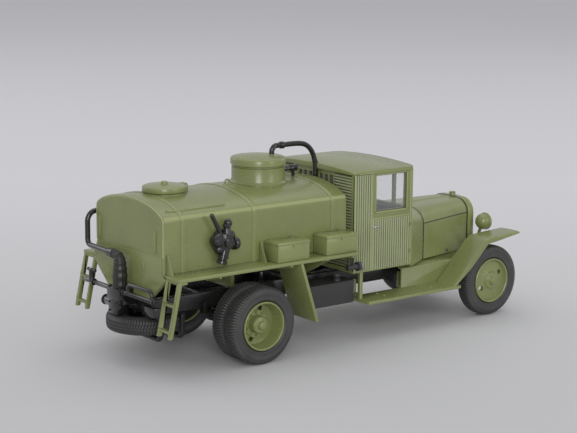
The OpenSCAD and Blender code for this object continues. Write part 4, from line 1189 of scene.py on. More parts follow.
@dataclass
class Cab:
    """Slatted cab with its glazing and inside.

    Attributes:
        pitch: Distance between slats.
        gap: Width of the gap between two slats.
        proud: How far a slat's round face stands out.
    """

    pitch: float = 0.82
    gap: float = 0.2
    proud: float = 0.27

    def build(self) -> None:
        """Builds the panels, slats, glass frames and furniture of the cab."""
        for node, width in (
            ("cab_floor", 0.1),
            ("cab_back", 0.0),
            ("cab_quarters", 0.0),
            ("cab_doors", 0.0),
            ("cab_front", 0.0),
            ("cab_roof", 0.14),
        ):
            softened(node, PAINT, width)
        softened("dashboard", TRIM, 0.25)
        softened("steering_wheel", TRIM, 0.0)
        softened("cab_glass", GLASS, 0.05)
        self.door_slats()
        self.quarter_slats()
        self.back_boards()
        self.mouldings()
        self.door_furniture()
        self.roof_gutter()
        self.seat()
        self.controls()

    def slat(self, shape: Shape, a: Vector, b: Vector, out: Vector, width: float) -> None:
        """Adds one slat with a round face.

        Args:
            shape: The shape that takes it.
            a: Middle of its back at one end.
            b: Middle of its back at the other end.
            out: Direction that its face looks in.
            width: Its width.
        """
        along = (b - a).normalized()
        across = along.cross(out)
        steps = 6
        rings = []
        for share, swell in ((0, 0.2), (0.15, 0.75), (0.4, 1.0)):
            rings.append((a + along * share, swell))
        for share, swell in ((0.4, 1.0), (0.15, 0.75), (0, 0.2)):
            rings.append((b - along * share, swell))
        sections = []
        for middle, swell in rings:
            face = []
            for k in range(steps + 1):
                turn = math.pi * k / steps
                sway = across * (-0.5 * width * math.cos(turn))
                lift = out * (self.proud * swell * math.sin(turn))
                face.append(middle + sway + lift)
            face.append(middle + across * (0.5 * width) - out * 0.1)
            face.append(middle - across * (0.5 * width) - out * 0.1)
            sections.append(face)
        shape.loft(sections)

    def slat_row(self, shape: Shape, x0: float, x1: float, y: float, z0: float, z1: float) -> None:
        """Adds a row of upright slats on the left side of the cab.

        Args:
            shape: The shape that takes them.
            x0: Rear end of the row.
            x1: Front end of the row.
            y: Face that they lie on.
            z0: Their lower ends.
            z1: Their upper ends.
        """
        out = Vector((0, 1, 0))
        count = int((x1 - x0 + 1e-6) / self.pitch)
        for i in range(count + 1):
            start = x0 + i * self.pitch + (self.gap if i else 0)
            end = min(x0 + (i + 1) * self.pitch, x1)
            if end - start < 0.3:
                continue
            x = (start + end) / 2
            self.slat(shape, Vector((x, y, z0)), Vector((x, y, z1)), out, end - start - 0.03)

    def door_slats(self) -> None:
        """Builds the upright slats below the door windows, with a dark sheet of painted shade behind them."""
        door = Span.of("cab_doors")
        shape = Shape()
        foot, head = CAB_Z + 0.2, WINDOW_Z[0] - BELT
        self.slat_row(shape, door.low.x + 0.2, door.high.x, door.high.y - 0.01, foot, head)
        shape.with_mirror().piece("door_slats", SLAT_SHEEN, crease=50)
        low = (door.low.x + 0.2, door.high.y - 0.3, CAB_Z + 0.3)
        high = (door.high.x, door.high.y + 0.02, head)
        Shape().block(low, high, 0.01).with_mirror().piece("door_grooves", GROOVE_SHADE)

    def quarter_slats(self) -> None:
        """Builds the upright slats of the panels behind the doors, with a dark sheet of painted shade behind
        them.
        """
        panel = Span.of("cab_quarters")
        shape = Shape()
        self.slat_row(shape, panel.low.x, panel.high.x, panel.high.y - 0.01, CAB_Z + 0.2, CAB_TOP - 0.2)
        shape.with_mirror().piece("quarter_slats", SLAT_SHEEN, crease=50)
        low = (panel.low.x, panel.high.y - 0.3, CAB_Z + 0.3)
        high = (panel.high.x, panel.high.y + 0.02, CAB_TOP - 0.3)
        Shape().block(low, high, 0.01).with_mirror().piece("quarter_grooves", GROOVE_SHADE)

    def back_boards(self) -> None:
        """Builds the rear wall's level boards round its window, a dark sheet of painted shade behind them,
        the window's bars and a dark panel behind the window.
        """
        x = Span.of("cab_back").low.x + 0.01
        reach = CAB_Y - 1.3
        side = REAR_WINDOW_Y + 0.3
        z0, z1 = REAR_WINDOW_Z
        shape = Shape()
        z = CAB_IN
        while z + self.pitch < CAB_TOP - 0.3:
            low, high = z + self.gap, z + self.pitch
            beside = high > z0 - 0.2 and low < z1 + 0.2
            for y0, y1 in ((-reach, -side), (side, reach)) if beside else ((-reach, reach),):
                middle = (low + high) / 2
                ends = Vector((x, y0, middle)), Vector((x, y1, middle))
                self.slat(shape, *ends, Vector((-1, 0, 0)), high - low - 0.03)
            z += self.pitch
        shape.piece("back_boards", SLAT_SHEEN, crease=50)
        # A dark sheet behind the boards, painted shade in their gaps.
        dark = Shape()
        for y0, y1 in ((-reach, -side), (side, reach)):
            dark.block((x - 0.03, y0, CAB_IN), (x + 0.3, y1, CAB_TOP - 0.3), 0.01)
        dark.block((x - 0.03, -side - 0.1, CAB_IN), (x + 0.3, side + 0.1, z0 - 0.3), 0.01)
        dark.piece("back_grooves", SHADE)
        guard = Shape()
        for y in (1.2, 3.5, 5.85, 8.2):
            for bar in (-y, y):
                guard.block((x - 0.3, bar - 0.26, z0 - 0.4), (x + 0.3, bar + 0.26, z1 + 0.4), 0.1)
        for z in (z0 - 0.2, z1 + 0.2):
            guard.block((x - 0.26, -side, z - 0.22), (x + 0.3, side, z + 0.22), 0.1)
        guard.piece("rear_window_bars", PAINT)
        # A dark panel inside the rear window, which darkens the view through it.
        inside = Span.of("cab_back").high.x
        low = (inside - 0.1, -side - 0.4, z0 - 0.5)
        high = (inside + 0.35, side + 0.4, z1 + 0.5)
        dark_panel = Shape().block(low, high, 0.1)
        dark_panel.piece("rear_window_blind", TRIM)

    def mouldings(self) -> None:
        """Builds the frames and reveals of the door windows and the beads round the doors."""
        door = Span.of("cab_doors")
        (x0, x1), (z0, z1) = WINDOW_X, WINDOW_Z
        y = door.high.y
        rim = 0.42
        shape = Shape()
        for low, high in (
            ((x0 - rim, z0 - rim), (x1 + rim, z0)),
            ((x0 - rim, z1), (x1 + rim, z1 + 0.3)),
            ((x0 - rim, z0 - rim), (x0, z1 + 0.3)),
            ((x1, z0 - rim), (x1 + rim, z1 + 0.3)),
        ):
            shape.block((low[0], y - 0.3, low[1]), (high[0], y + 0.13, high[1]), 0.1)
        belt = z0 - BELT
        shape.block((door.low.x + 0.1, y - 0.2, belt), (door.high.x, y + 0.2, belt + 0.4), 0.1)
        for x in (door.low.x, door.high.x + 0.1):
            shape.tube([(x, y, CAB_Z + 0.2), (x, y, CAB_TOP - 0.1)], 0.2, 10)
        # The mouldings take the pale paint, a painted highlight.
        shape.with_mirror().piece("door_mouldings", PALE_HIGHLIGHT)
        seal = Shape()
        thick = 0.22
        for low, high in (
            ((x0, z0), (x1, z0 + thick)),
            ((x0, z1 - thick), (x1, z1)),
            ((x0, z0), (x0 + thick, z1)),
            ((x1 - thick, z0), (x1, z1)),
        ):
            seal.block((low[0], y - 1.1, low[1]), (high[0], y - 0.4, high[1]), 0.05)
        seal.with_mirror().piece("window_seals", PAINT)

    def door_furniture(self) -> None:
        """Builds the hinges and handles of the doors."""
        door = Span.of("cab_doors")
        y = door.high.y
        hinges = Shape()
        for z in (23.4, 31.2):
            for dz in (-0.5, 0.05):
                barrel = [(0, 0), (0.3, 0), (0.34, 0.06), (0.34, 0.4), (0.3, 0.45), (0, 0.45)]
                hinges.lathe(barrel, facing((door.high.x + 0.1, y + 0.16, z + dz), (0, 0, 1)), 14)
            hinges.block((door.high.x - 1.5, y + 0.04, z - 0.3), (door.high.x, y + 0.2, z + 0.3), 0.06)
        hinges.with_mirror().piece("door_hinges", PAINT)
        handles = Shape()
        x, z = door.low.x + 0.7, 31.9
        rose = [(0, 0), (0.42, 0), (0.42, 0.16), (0.3, 0.3), (0, 0.34)]
        handles.lathe(rose, facing((x, y, z), (0, 1, 0)), 20)
        bar = [(x, y + 0.2, z), (x, y + 0.5, z), (x + 0.3, y + 0.56, z), (x + 1.5, y + 0.5, z - 0.05)]
        handles.tube(smooth_path(bar), lambda share, angle: 0.17 + 0.06 * share, 12)
        handles.with_mirror().piece("door_handles", BRIGHT)

    def roof_gutter(self) -> None:
        """Builds the drip moulding under the roof's sides."""
        roof = Span.of("cab_roof")
        y, z = roof.high.y - 0.06, roof.low.z + 0.1
        shape = Shape().tube([(roof.low.x + 2.2, y, z), (roof.high.x - 2.2, y, z)], 0.14, 12)
        # The drip moulding takes the pale paint, a painted highlight.
        shape.with_mirror().piece("roof_gutter", PALE_HIGHLIGHT)

    def seat(self) -> None:
        """Builds the bench with its pleats."""
        box = Span.of("seat")
        base_top = CAB_IN + 8.4
        pleats = 14
        shape = Shape()
        wide = (box.high.y - box.low.y) / pleats
        shape.block((box.low.x, box.low.y, CAB_IN), (box.high.x - 0.3, box.high.y, base_top - 1.8), 0.3)
        for i in range(pleats):
            y0 = box.low.y + i * wide
            shape.block((box.low.x + 0.4, y0, base_top - 2.2), (box.high.x, y0 + wide, base_top), 0.45)
            shape.block((box.low.x, y0, base_top - 1.4), (box.low.x + 2.4, y0 + wide, box.high.z), 0.45)
        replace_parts(shape.piece("bench", TRIM), "seat")

    def controls(self) -> None:
        """Builds the dials, levers and pedals in the cab."""
        dash = Span.of("dashboard")
        face = dash.low.x
        dials = Shape()
        for y, r in ((8.0, 1.0), (5.4, 0.7), (10.6, 0.7), (-6.0, 0.7)):
            bezel = [(r - 0.18, -0.1), (r, -0.1), (r, 0.14), (r - 0.1, 0.2), (r - 0.18, 0.12)]
            dials.ring(bezel, facing((face, y, dash.high.z - 1.6), (-1, 0, 0)), 28)
            low = (face - 0.1, y - 0.06, dash.high.z - 1.6)
            high = (face + 0.1, y + 0.06, dash.high.z - 1.1)
            dials.block(low, high, 0.02)
        dials.piece("dash_dials", STEEL)
        levers = Shape()
        for x, y, reach in ((50.5, 1.0, 9.5), (49.0, 3.2, 7.0)):
            top = Vector((x - 1.4, y, CAB_IN + reach))
            rod = [(x, y, CAB_IN - 0.1), (x - 0.1, y, CAB_IN + 0.5 * reach), tuple(top)]
            levers.tube(smooth_path(rod), 0.22, 10)
            knob = [(0, -0.5), (0.35, -0.4), (0.5, 0), (0.35, 0.4), (0, 0.5)]
            levers.lathe(knob, facing(top, (0, 0, 1)), 14)
        for y in (9.4, 7.6, 6.0):
            levers.block((54.8, y - 0.55, CAB_IN + 1.0), (55.1, y + 0.55, CAB_IN + 2.6), 0.1)
            levers.tube([(55.0, y, CAB_IN + 1.4), (56.6, y, CAB_IN + 2.6)], 0.16, 8)
        levers.piece("cab_levers", TRIM)


@dataclass
class Nose:
    """Cowl, bonnet, radiator, fenders, boards and lamps.

    Attributes:
        steps: Points along each rounded corner of the bonnet's section.
    """

    steps: int = 10

    def build(self) -> None:
        """Builds everything ahead of the cab and the boards beside it."""
        self.hood()
        self.fenders()
        softened("radiator_shell", PAINT, 0.3)
        softened("radiator_core", BLACK, 0.05)
        softened("running_boards", PAINT, 0.12)
        softened("headlight_bodies", PAINT, 0.08)
        softened("headlight_lenses", LENS, 0.05)
        self.radiator_bead()
        self.latches()
        self.board_bolts()
        self.lamps()

    def section(self, share: float, shrink: float = 0.0) -> list[tuple[float, float]]:
        """Gives the bonnet's section between its rear and its nose.

        Args:
            share: 0 at the rear of the bonnet, 1 at the nose; below 0 in the cowl, -1 at the cab.
            shrink: How far the section is drawn in.

        Returns:
            Corners as (y, z), from the lower right round the top to the lower left.
        """
        cab = (CAB_Y, COWL_TOP, 6.5, 5.2)
        rear = (12.0, BONNET_TOP - 0.4, 5.5, 4.3)
        nose = (8.0, BONNET_TOP - 0.1, 4.4, 4.2)
        first, second = (rear, nose) if share >= 0 else (cab, rear)
        part = share if share >= 0 else 1 + share
        half, top, ry, rz = (a + (b - a) * part for a, b in zip(first, second))
        half, top = half - shrink, top - shrink
        right = []
        for k in range(self.steps + 1):
            turn = math.pi / 2 * k / self.steps
            right.append((half - ry * (1 - math.cos(turn)), top - rz * (1 - math.sin(turn))))
        side = [(half, FRAME_TOP), (half, FRAME_TOP + 5), (half, 0.5 * (FRAME_TOP + top) + 2)]
        crown = [(half - ry - (half - ry) * k / 4, top + 0.12 * k / 4) for k in range(1, 4)]
        half_outline = side + right + crown
        return [(-y, z) for y, z in half_outline] + [(0, top + 0.12)] + list(reversed(half_outline))

    def hood(self) -> None:
        """Builds the cowl and the bonnet with their joints and hinge lines."""
        cowl, bonnet = Span.of("cowl"), Span.of("bonnet")
        joint = 0.16
        shape = Shape()
        length = cowl.high.x - cowl.low.x
        rings = []
        for k in range(9):
            x = cowl.low.x + (length - joint) * k / 8
            share = -1 + (x - cowl.low.x) / length
            rings.append([(x, y, z) for y, z in self.section(share)])
        rings.append([(cowl.high.x - joint + 0.03, y, z) for y, z in self.section(-0.01, 0.3)])
        rings.append([(cowl.high.x + joint, y, z) for y, z in self.section(0.0, 0.3)])
        shape.loft(rings)
        cowl_piece = shape.piece("smooth_cowl", PAINT, crease=40)
        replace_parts(cowl_piece, "cowl")
        shape = Shape()
        length = bonnet.high.x - bonnet.low.x
        rings = [[(bonnet.low.x + joint - 0.02, y, z) for y, z in self.section(0.0, 0.3)]]
        for k in range(13):
            x = bonnet.low.x + joint + (length - 2.4 * joint) * k / 12
            rings.append([(x, y, z) for y, z in self.section((x - bonnet.low.x) / length)])
        rings.append([(bonnet.high.x - 1.3 * joint, y, z) for y, z in self.section(0.99, 0.35)])
        rings.append([(bonnet.high.x, y, z) for y, z in self.section(1.0, 0.35)])
        shape.loft(rings)
        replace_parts(shape.piece("smooth_bonnet", PAINT, crease=40), "bonnet")
        self.hinges(bonnet)

    def hinges(self, bonnet: Span) -> None:
        """Builds the bonnet's hinge lines, its joints and the beads of its side panels.

        Args:
            bonnet: The bonnet's box.
        """
        x0, x1 = bonnet.low.x + 0.3, bonnet.high.x - 0.4
        shape = Shape().tube([(x0, 0, BONNET_TOP - 0.3), (x1, 0, BONNET_TOP)], 0.14, 12)
        for x, y in ((70.0, 11.52), (87.6, 8.33)):
            for side in (-y, y):
                shape.tube([(x, side, FRAME_TOP + 1.2), (x, side, 28.6)], 0.12, 8)
        shape.tube([(bonnet.low.x - 0.35, y, z) for y, z in self.section(-0.04)], 0.17, 8)
        shape.piece("bonnet_beads", PAINT)
        line = Shape()
        for y0, y1 in ((11.95, 8.07), (-11.95, -8.07)):
            line.tube([(x0, y0, 29.2), (x1, y1, 29.7)], 0.13, 8)
        line.tube([(bonnet.low.x + 0.2, y, z) for y, z in self.section(0.0)], 0.21, 8)
        line.tube([(bonnet.high.x - 0.16, y, z) for y, z in self.section(1.0)], 0.18, 8)
        line.piece("bonnet_joints", BLACK)

    def fenders(self) -> None:
        """Builds the crowned front fenders and their stays."""
        outer, inner = Span.of("fenders").high.y, FENDER_INNER
        foot, bend, tip = (Vector(p) for p in FENDER_LINE)
        turn = (bend - foot).angle(tip - bend)
        reach = FENDER_RADIUS * math.tan(turn / 2)
        before, after = (foot - bend).normalized(), (tip - bend).normalized()
        start, end = bend + before * reach, bend + after * reach
        centre = bend + (before + after).normalized() * (FENDER_RADIUS / math.cos(turn / 2))
        line = [foot, *(foot.lerp(start, k / 4) for k in range(1, 4))]
        for k in range(11):
            ray = (start - centre).lerp(end - centre, k / 10).normalized()
            line.append(centre + ray * FENDER_RADIUS)
        line += [*(end.lerp(tip, k / 4) for k in range(1, 4)), tip - after * 0.3, tip]
        rings = []
        last = len(line) - 1
        for i, point in enumerate(line):
            along = (line[min(i + 1, last)] - line[max(i - 1, 0)]).normalized()
            up = Vector((-along.y, along.x))
            near = min((point - foot).length / 8, (tip - point).length / 11, 1.0)
            skin = self.fender_skin(inner, outer, near)
            rings.append([(point.x + up.x * h, y, point.y + up.y * h) for y, h in skin])
        rings[0] = [(x - (z - foot.y) * before.x / before.y, y, foot.y) for x, y, z in rings[0]]
        shape = Shape().loft(rings)
        stay_x = Datum.joints["front_left_spin"].x + 2.8
        stay = [(RAIL_Y, FRAME_TOP - 2.4), (inner + 1.8, bend.y - 0.2), (inner - 0.4, bend.y - 0.2)]
        upright = Matrix(((0, 0, 1, stay_x), (1, 0, 0, 0), (0, 1, 0, 0), (0, 0, 0, 1)))
        shape.plate([*stay, (RAIL_Y, FRAME_TOP - 0.6)], 0.8, upright, 0.1)
        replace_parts(shape.with_mirror().piece("crowned_fenders", PAINT, crease=40), "fenders")

    def fender_skin(self, inner: float, outer: float, near: float) -> list[Point2]:
        """Gives the section across a fender.

        Args:
            inner: Its inner edge.
            outer: Its outer edge.
            near: 0 at the ends of the fender, where sheet and lip are thin, 1 along its middle.

        Returns:
            Corners as (y, height above the sheet's line).
        """
        sheet = 0.4 + 0.4 * near
        low = sheet + 0.1 + 0.7 * near
        crown = [(inner, 0.0), (inner + 1.6, 0.06), (0.5 * (inner + outer), 0.12), (outer - 1.6, 0.08)]
        edge = [
            (outer - 0.5, 0.0), (outer - 0.15, -0.08), (outer, -0.25), (outer, 0.12 - low),
            (outer - 0.08, -low),
        ]
        lip = [
            (outer - 0.3, -low), (outer - 0.4, 0.12 - low), (outer - 0.4, -sheet - 0.06),
            (outer - 0.55, -sheet),
        ]
        return [*crown, *edge, *lip, (inner + 0.1, -sheet), (inner, 0.15 - sheet)]

    def radiator_bead(self) -> None:
        """Builds the bead round the radiator's opening and the rim of its filler."""
        shell = Span.of("radiator_shell")
        half, top, ry, rz = 7.0, shell.high.z - 2.5, 3.1, 2.9
        outline = [(half, FRAME_TOP + 0.6)]
        for k in range(9):
            turn = math.pi / 2 * k / 8
            outline.append((half - ry * (1 - math.cos(turn)), top - rz * (1 - math.sin(turn))))
        front = RADIATOR_X[1]
        loop = [(front, y, z) for y, z in outline] + [(front, -y, z) for y, z in reversed(outline)]
        shape = Shape().tube(loop, 0.17, 10)
        filler = [(0.6, -0.3), (1.02, -0.3), (1.06, -0.24), (1.06, -0.08), (1.0, 0.02), (0.6, 0.02)]
        shape.ring(filler, facing((sum(RADIATOR_X) / 2, 0, shell.high.z), (0, 0, 1)), 24)
        shape.piece("radiator_bead", PAINT)

    def latches(self) -> None:
        """Builds the bonnet's side catches."""
        x, y = 79.4, 9.84
        shape = Shape().block((x - 0.6, y - 0.1, FRAME_TOP + 0.5), (x + 0.6, y + 0.22, FRAME_TOP + 1.0), 0.08)
        shape.tube([(x - 0.1, y + 0.2, FRAME_TOP + 0.8), (x - 0.1, y + 0.36, FRAME_TOP + 1.5)], 0.14, 8)
        shape.with_mirror().piece("bonnet_catches", STEEL)

    def board_bolts(self) -> None:
        """Builds the bolt heads on the running boards."""
        shape = Shape()
        for x, y in ((47.3, 14.95), (47.3, 18.0), (65.1, 14.35), (65.5, 17.8)):
            shape.rivet(facing((x, y, BOARD_Z), (0, 0, 1)), 0.42)
        shape.with_mirror().piece("board_bolts", PAINT)

    def lamps(self) -> None:
        """Builds the rims, reflectors and lens ribs of the headlights."""
        lens = Span.of("headlight_lenses")
        x = lens.low.x
        z = lens.middle.z
        radius = (lens.high.z - lens.low.z) / 2
        place = facing((x, HEADLIGHT_Y, z), (1, 0, 0))
        rim = [(radius - 0.1, -0.5), (radius + 0.25, -0.5), (radius + 0.34, -0.2), (radius + 0.3, 0.22)]
        rim += [(radius + 0.1, 0.34), (radius - 0.1, 0.26)]
        shape = Shape().ring(rim, place, 48)
        shape.with_mirror().piece("lamp_rims", PAINT)
        ribs = Shape()
        for k in range(-4, 5):
            off = k * 0.48
            reach = math.sqrt(radius**2 - off**2) - 0.25
            bulge = x + 0.62 - 0.4 * (abs(off) / radius) ** 2
            across = HEADLIGHT_Y + off
            arch = [(bulge - 0.3, across, z - reach), (bulge, across, z), (bulge - 0.3, across, z + reach)]
            ribs.tube(arch, 0.08, 6)
        ribs.with_mirror().piece("lens_ribs", LENS)


@dataclass
class Tank:
    """The fuel tank with its dome, hatch, walkways and boxes.

    Attributes:
        crown: Radius of the tank's top at its middle.
        droop: How far the top falls below that arc at the sides.
        shoulder: Size of the rounding between its top and sides.
        rim: Radius of the rear face's rounded edge.
        raised: How far the bands stand out.
    """

    crown: float = 45.0
    droop: float = 1.1
    shoulder: float = 1.0
    rim: float = 0.8
    raised: float = 0.14

    def build(self) -> None:
        """Builds the tank and everything that is painted with it."""
        self.shell()
        self.dome()
        self.hatch()
        self.strips()
        for node, width in (
            ("walkways", 0.12),
            ("tank_cradles", 0.1),
            ("mudguards", 0.15),
            ("ladders", 0.14),
        ):
            softened(node, PAINT, width)
        self.lockers()
        self.brackets()

    def top_z(self, y: float, grow: float = 0.0) -> float:
        """Gives the height of the tank's top at a distance from its middle, grown on every side."""
        return TANK_TOP + 0.1 + grow - y * y / (2 * self.crown) - self.droop * (y / TANK_Y) ** 6

    def outline(self, grow: float) -> list[Point2]:
        """Gives the tank's section.

        Args:
            grow: How far it is grown on every side.

        Returns:
            Corners as (y, z) from the bottom up the right side, over the top and down the left side.
        """
        half, low = TANK_Y + grow, TANK_BOTTOM
        rise = WALK_Z - low
        belly = (TANK_Y**2 + rise**2) / (2 * rise)
        belly_z, belly_r = low + belly, belly + grow
        swing = math.asin(half / belly_r)
        turns = [swing * k / 8 for k in range(9)]
        right = [(belly_r * math.sin(turn), belly_z - belly_r * math.cos(turn)) for turn in turns]
        corner = (half, self.top_z(half, grow))
        low_end = (half, corner[1] - self.shoulder)
        high_end = (half - self.shoulder, self.top_z(half - self.shoulder, grow))
        right += [(half, SEAM_Z + (low_end[1] - SEAM_Z) * k / 3) for k in range(3)]
        for k in range(7):
            share = k / 6
            weights = ((1 - share) ** 2, 2 * share * (1 - share), share**2)
            bend = zip(weights, (low_end, corner, high_end))
            right.append(tuple(sum(axis) for axis in zip(*((w * y, w * z) for w, (y, z) in bend))))
        for k in range(1, 15):
            y = high_end[0] * (1 - k / 14)
            right.append((y, self.top_z(y, grow)))
        return right + [(-y, z) for y, z in reversed(right[1:-1])]

    def ring(self, x: float, grow: float) -> list[Point3]:
        """Gives one ring of the tank's skin at a place along it, grown on every side."""
        return [(x, y, z) for y, z in self.outline(grow)]

    def shell(self) -> None:
        """Builds the tank's skin, rounded rear edge, bands, lower rear panel and painted highlights on its
        edges.
        """
        box = Span.of("tank_body")
        rear, front = box.low.x, box.high.x
        shape = Shape()
        rings = [self.ring(rear, -self.rim - 0.3)]
        for k in range(7):
            turn = math.pi / 2 * k / 6
            x, grow = rear + self.rim * (1 - math.cos(turn)), -self.rim * (1 - math.sin(turn))
            rings.append(self.ring(x, grow))
        rings += [self.ring(rear + 4 + (front - rear - 5) * k / 10, 0) for k in range(11)]
        rings += [self.ring(front - 0.42, -0.12), self.ring(front - 0.12, -0.42), self.ring(front, -0.9)]
        shape.loft(rings)
        for middle in BAND_X:
            x0, x1, high = middle - 0.9, middle + 0.9, self.raised
            edges = [(x0, -0.1), (x0, 0.6 * high), (x0 + 0.1, high)]
            edges += [(x1 - 0.1, high), (x1, 0.6 * high), (x1, -0.1)]
            shape.loft([self.ring(x, grow) for x, grow in edges])
        half = [(TANK_Y - 0.9, SEAM_Z), (TANK_Y - 0.3, WALK_Z + 0.7), (17.2, WALK_Z)]
        half += [(17.2, WALK_Z - 0.5), (9.3, FRAME_TOP + 0.1)]
        outline = half + [(-y, z) for y, z in reversed(half)]
        upright = Matrix(((0, 0, -1, rear + 0.1), (1, 0, 0, 0), (0, 1, 0, 0), (0, 0, 0, 1)))
        shape.plate(outline, 0.2, upright, 0.1)
        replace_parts(shape.piece("tank_shell", PAINT, crease=32), "tank_body")
        # A pale bead along the rear rim's arch, a painted highlight.
        arch = self.ring(rear + 0.22, -0.2)
        seam = next(i for i, point in enumerate(arch) if point[2] > SEAM_Z - 0.1)
        Shape().tube(arch[seam : len(arch) - seam + 1], 0.16, 10).piece("tank_rim_edge", RIM_HIGHLIGHT)
        # Pale strips along both shoulders, a painted highlight.
        edges = Shape()
        spans = [(rear + 0.6, front - 0.6, 0.03)]
        spans += [(middle - 0.8, middle + 0.8, self.raised + 0.03) for middle in BAND_X]
        for x0, x1, grow in spans:
            skin = self.outline(grow)[SHOULDER_POINTS]
            core = self.outline(grow - 0.15)[SHOULDER_POINTS]
            for side in (1, -1):
                loop = [(side * y, z) for y, z in (skin + core[::-1])[::side]]
                edges.loft([[(x, y, z) for y, z in loop] for x in (x0, x1)])
        edges.piece("tank_shoulder_edges", PALE_HIGHLIGHT)

    def dome(self) -> None:
        """Builds the dome's neck and its lid."""
        lid = Span.of("dome_lid")
        foot = facing((lid.middle.x, 0, TANK_TOP), (0, 0, 1))
        neck = lid.low.z - TANK_TOP
        r = (lid.high.x - lid.low.x) / 2
        profile = [
            (0, -3), (r + 0.25, -3), (r + 0.25, -0.1), (r + 0.28, 0.2), (r + 0.1, 0.42),
            (r - 0.2, 0.5),
        ]
        profile += [
            (r - 0.3, 0.7), (r - 0.3, neck - 0.6), (r - 0.7, neck - 0.5), (r - 0.7, neck + 0.1),
            (0, neck + 0.1),
        ]
        Shape().lathe(profile, foot, 96).piece("dome_neck", PAINT)
        high = lid.high.z - lid.low.z
        cover = [
            (0, 0.02), (r - 0.15, 0.02), (r, 0.15), (r, 1.5), (r - 0.1, 1.82), (r - 0.35, 2.02),
            (r - 0.9, 2.16),
        ]
        cover += [(5.2, 2.42), (3.0, high - 0.12), (1.4, high - 0.03), (0, high)]
        place = facing((lid.middle.x, 0, lid.low.z), (0, 0, 1))
        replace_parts(Shape().lathe(cover, place, 96).piece("dome_cover", PAINT), "dome_lid")

    def hatch(self) -> None:
        """Builds the rear hatch with its lid, knob and hinge."""
        lid = Span.of("hatch_lid")
        x, z = lid.middle.x, lid.low.z
        r = (lid.high.x - lid.low.x) / 2
        neck = [(0, -1.6), (r - 0.1, -1.6), (r - 0.1, -0.85), (r - 0.4, -0.7), (r - 0.4, 0.05), (0, 0.05)]
        Shape().lathe(neck, facing((x, 0, z), (0, 0, 1)), 80).piece("hatch_ring", PAINT)
        cover = [
            (r - 0.3, 0.02), (r - 0.3, -0.55), (r, -0.55), (r + 0.04, -0.45), (r + 0.04, 0.45),
            (r - 0.08, 0.68),
        ]
        cover += [
            (r - 0.5, 0.88), (r - 1.2, 1.0), (2.0, 1.18), (1.1, 1.26), (1.0, 1.4), (0.96, 1.75),
            (0.8, 1.93),
        ]
        place = facing((x, 0, z), (0, 0, 1))
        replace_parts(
            Shape().lathe([(0, 0.02), *cover, (0, 2.0)], place, 80).piece("hatch_cover", PAINT), "hatch_lid"
        )
        hinge = Shape()
        hinge.block((x + r - 0.9, -0.9, z + 0.3), (x + r + 0.8, 0.9, z + 1.0), 0.12)
        hinge.block((x + r + 0.2, -1.2, TANK_TOP - 0.2), (x + r + 0.9, 1.2, z + 0.7), 0.12)
        hinge.piece("hatch_hinge", PAINT)

    def strips(self) -> None:
        """Builds the raised strips on the tank and its lifting eye."""
        rear = Span.of("tank_body").low.x
        shape = Shape()
        y = -13.8
        z = self.top_z(y)
        shape.block((-24.7, y - 0.45, z - 0.3), (-6.2, y + 0.45, z + 0.3), 0.12)
        for middle, low, high in ((-12.9, 32.0, 38.0), (14.2, 32.6, 38.0), (-7.5, 26.6, 29.2)):
            shape.block((rear - 0.3, middle - 0.42, low), (rear + 0.3, middle + 0.42, high), 0.12)
        turns = [math.tau * k / 10 for k in range(10)]
        eye = [(0.72 + 0.24 * math.cos(turn), 0.24 * math.sin(turn)) for turn in turns]
        shape.ring(eye, facing((EYE_X, 0, TANK_TOP + 0.72), (0, 1, 0)), 28)
        foot = [(0, -0.3), (0.62, -0.3), (0.62, 0.1), (0.4, 0.42), (0, 0.5)]
        for dx in (-0.85, 0.85):
            shape.lathe(foot, facing((EYE_X + dx, 0, TANK_TOP), (0, 0, 1)), 20)
        shape.piece("tank_strips", PAINT)

    def lockers(self) -> None:
        """Builds the lockers on the walkways with their lids and catches."""
        top = Span.of("lockers").high.z
        y0, y1 = LOCKER_Y
        shape = Shape()
        for x0 in LOCKER_X:
            x1 = x0 + LOCKER_LENGTH
            middle = (x0 + x1) / 2
            shape.block((x0 + 0.12, y0, WALK_TOP), (x1 - 0.12, y1 - 0.12, top - 0.8), 0.14)
            shape.block((x0, y0, top - 0.9), (x1, y1, top), 0.22)
            shape.block((middle - 0.3, y1 - 0.2, top - 1.5), (middle + 0.3, y1 + 0.1, top - 0.5), 0.08)
            for dx in (-3.6, 3.6):
                low = (middle + dx - 0.6, y0, top - 0.1)
                high = (middle + dx + 0.6, y0 + 0.9, top + 0.12)
                shape.block(low, high, 0.06)
        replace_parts(shape.with_mirror().piece("boxed_lockers", PAINT), "lockers")

    def brackets(self) -> None:
        """Builds the brackets below the walkways."""
        edge = Span.of("walkways").high.y - 0.6
        inner = TANK_Y + 0.2
        shape = Shape()
        for x in (9.6, -14.0, 31.0):
            corner = [(inner, WALK_Z), (edge, WALK_Z), (edge, WALK_Z - 0.7), (inner, WALK_Z - 2.4)]
            upright = Matrix(((0, 0, 1, x), (1, 0, 0, 0), (0, 1, 0, 0.05), (0, 0, 0, 1)))
            shape.plate(corner, 0.6, upright, 0.08)
        shape.with_mirror().piece("walkway_brackets", PAINT)


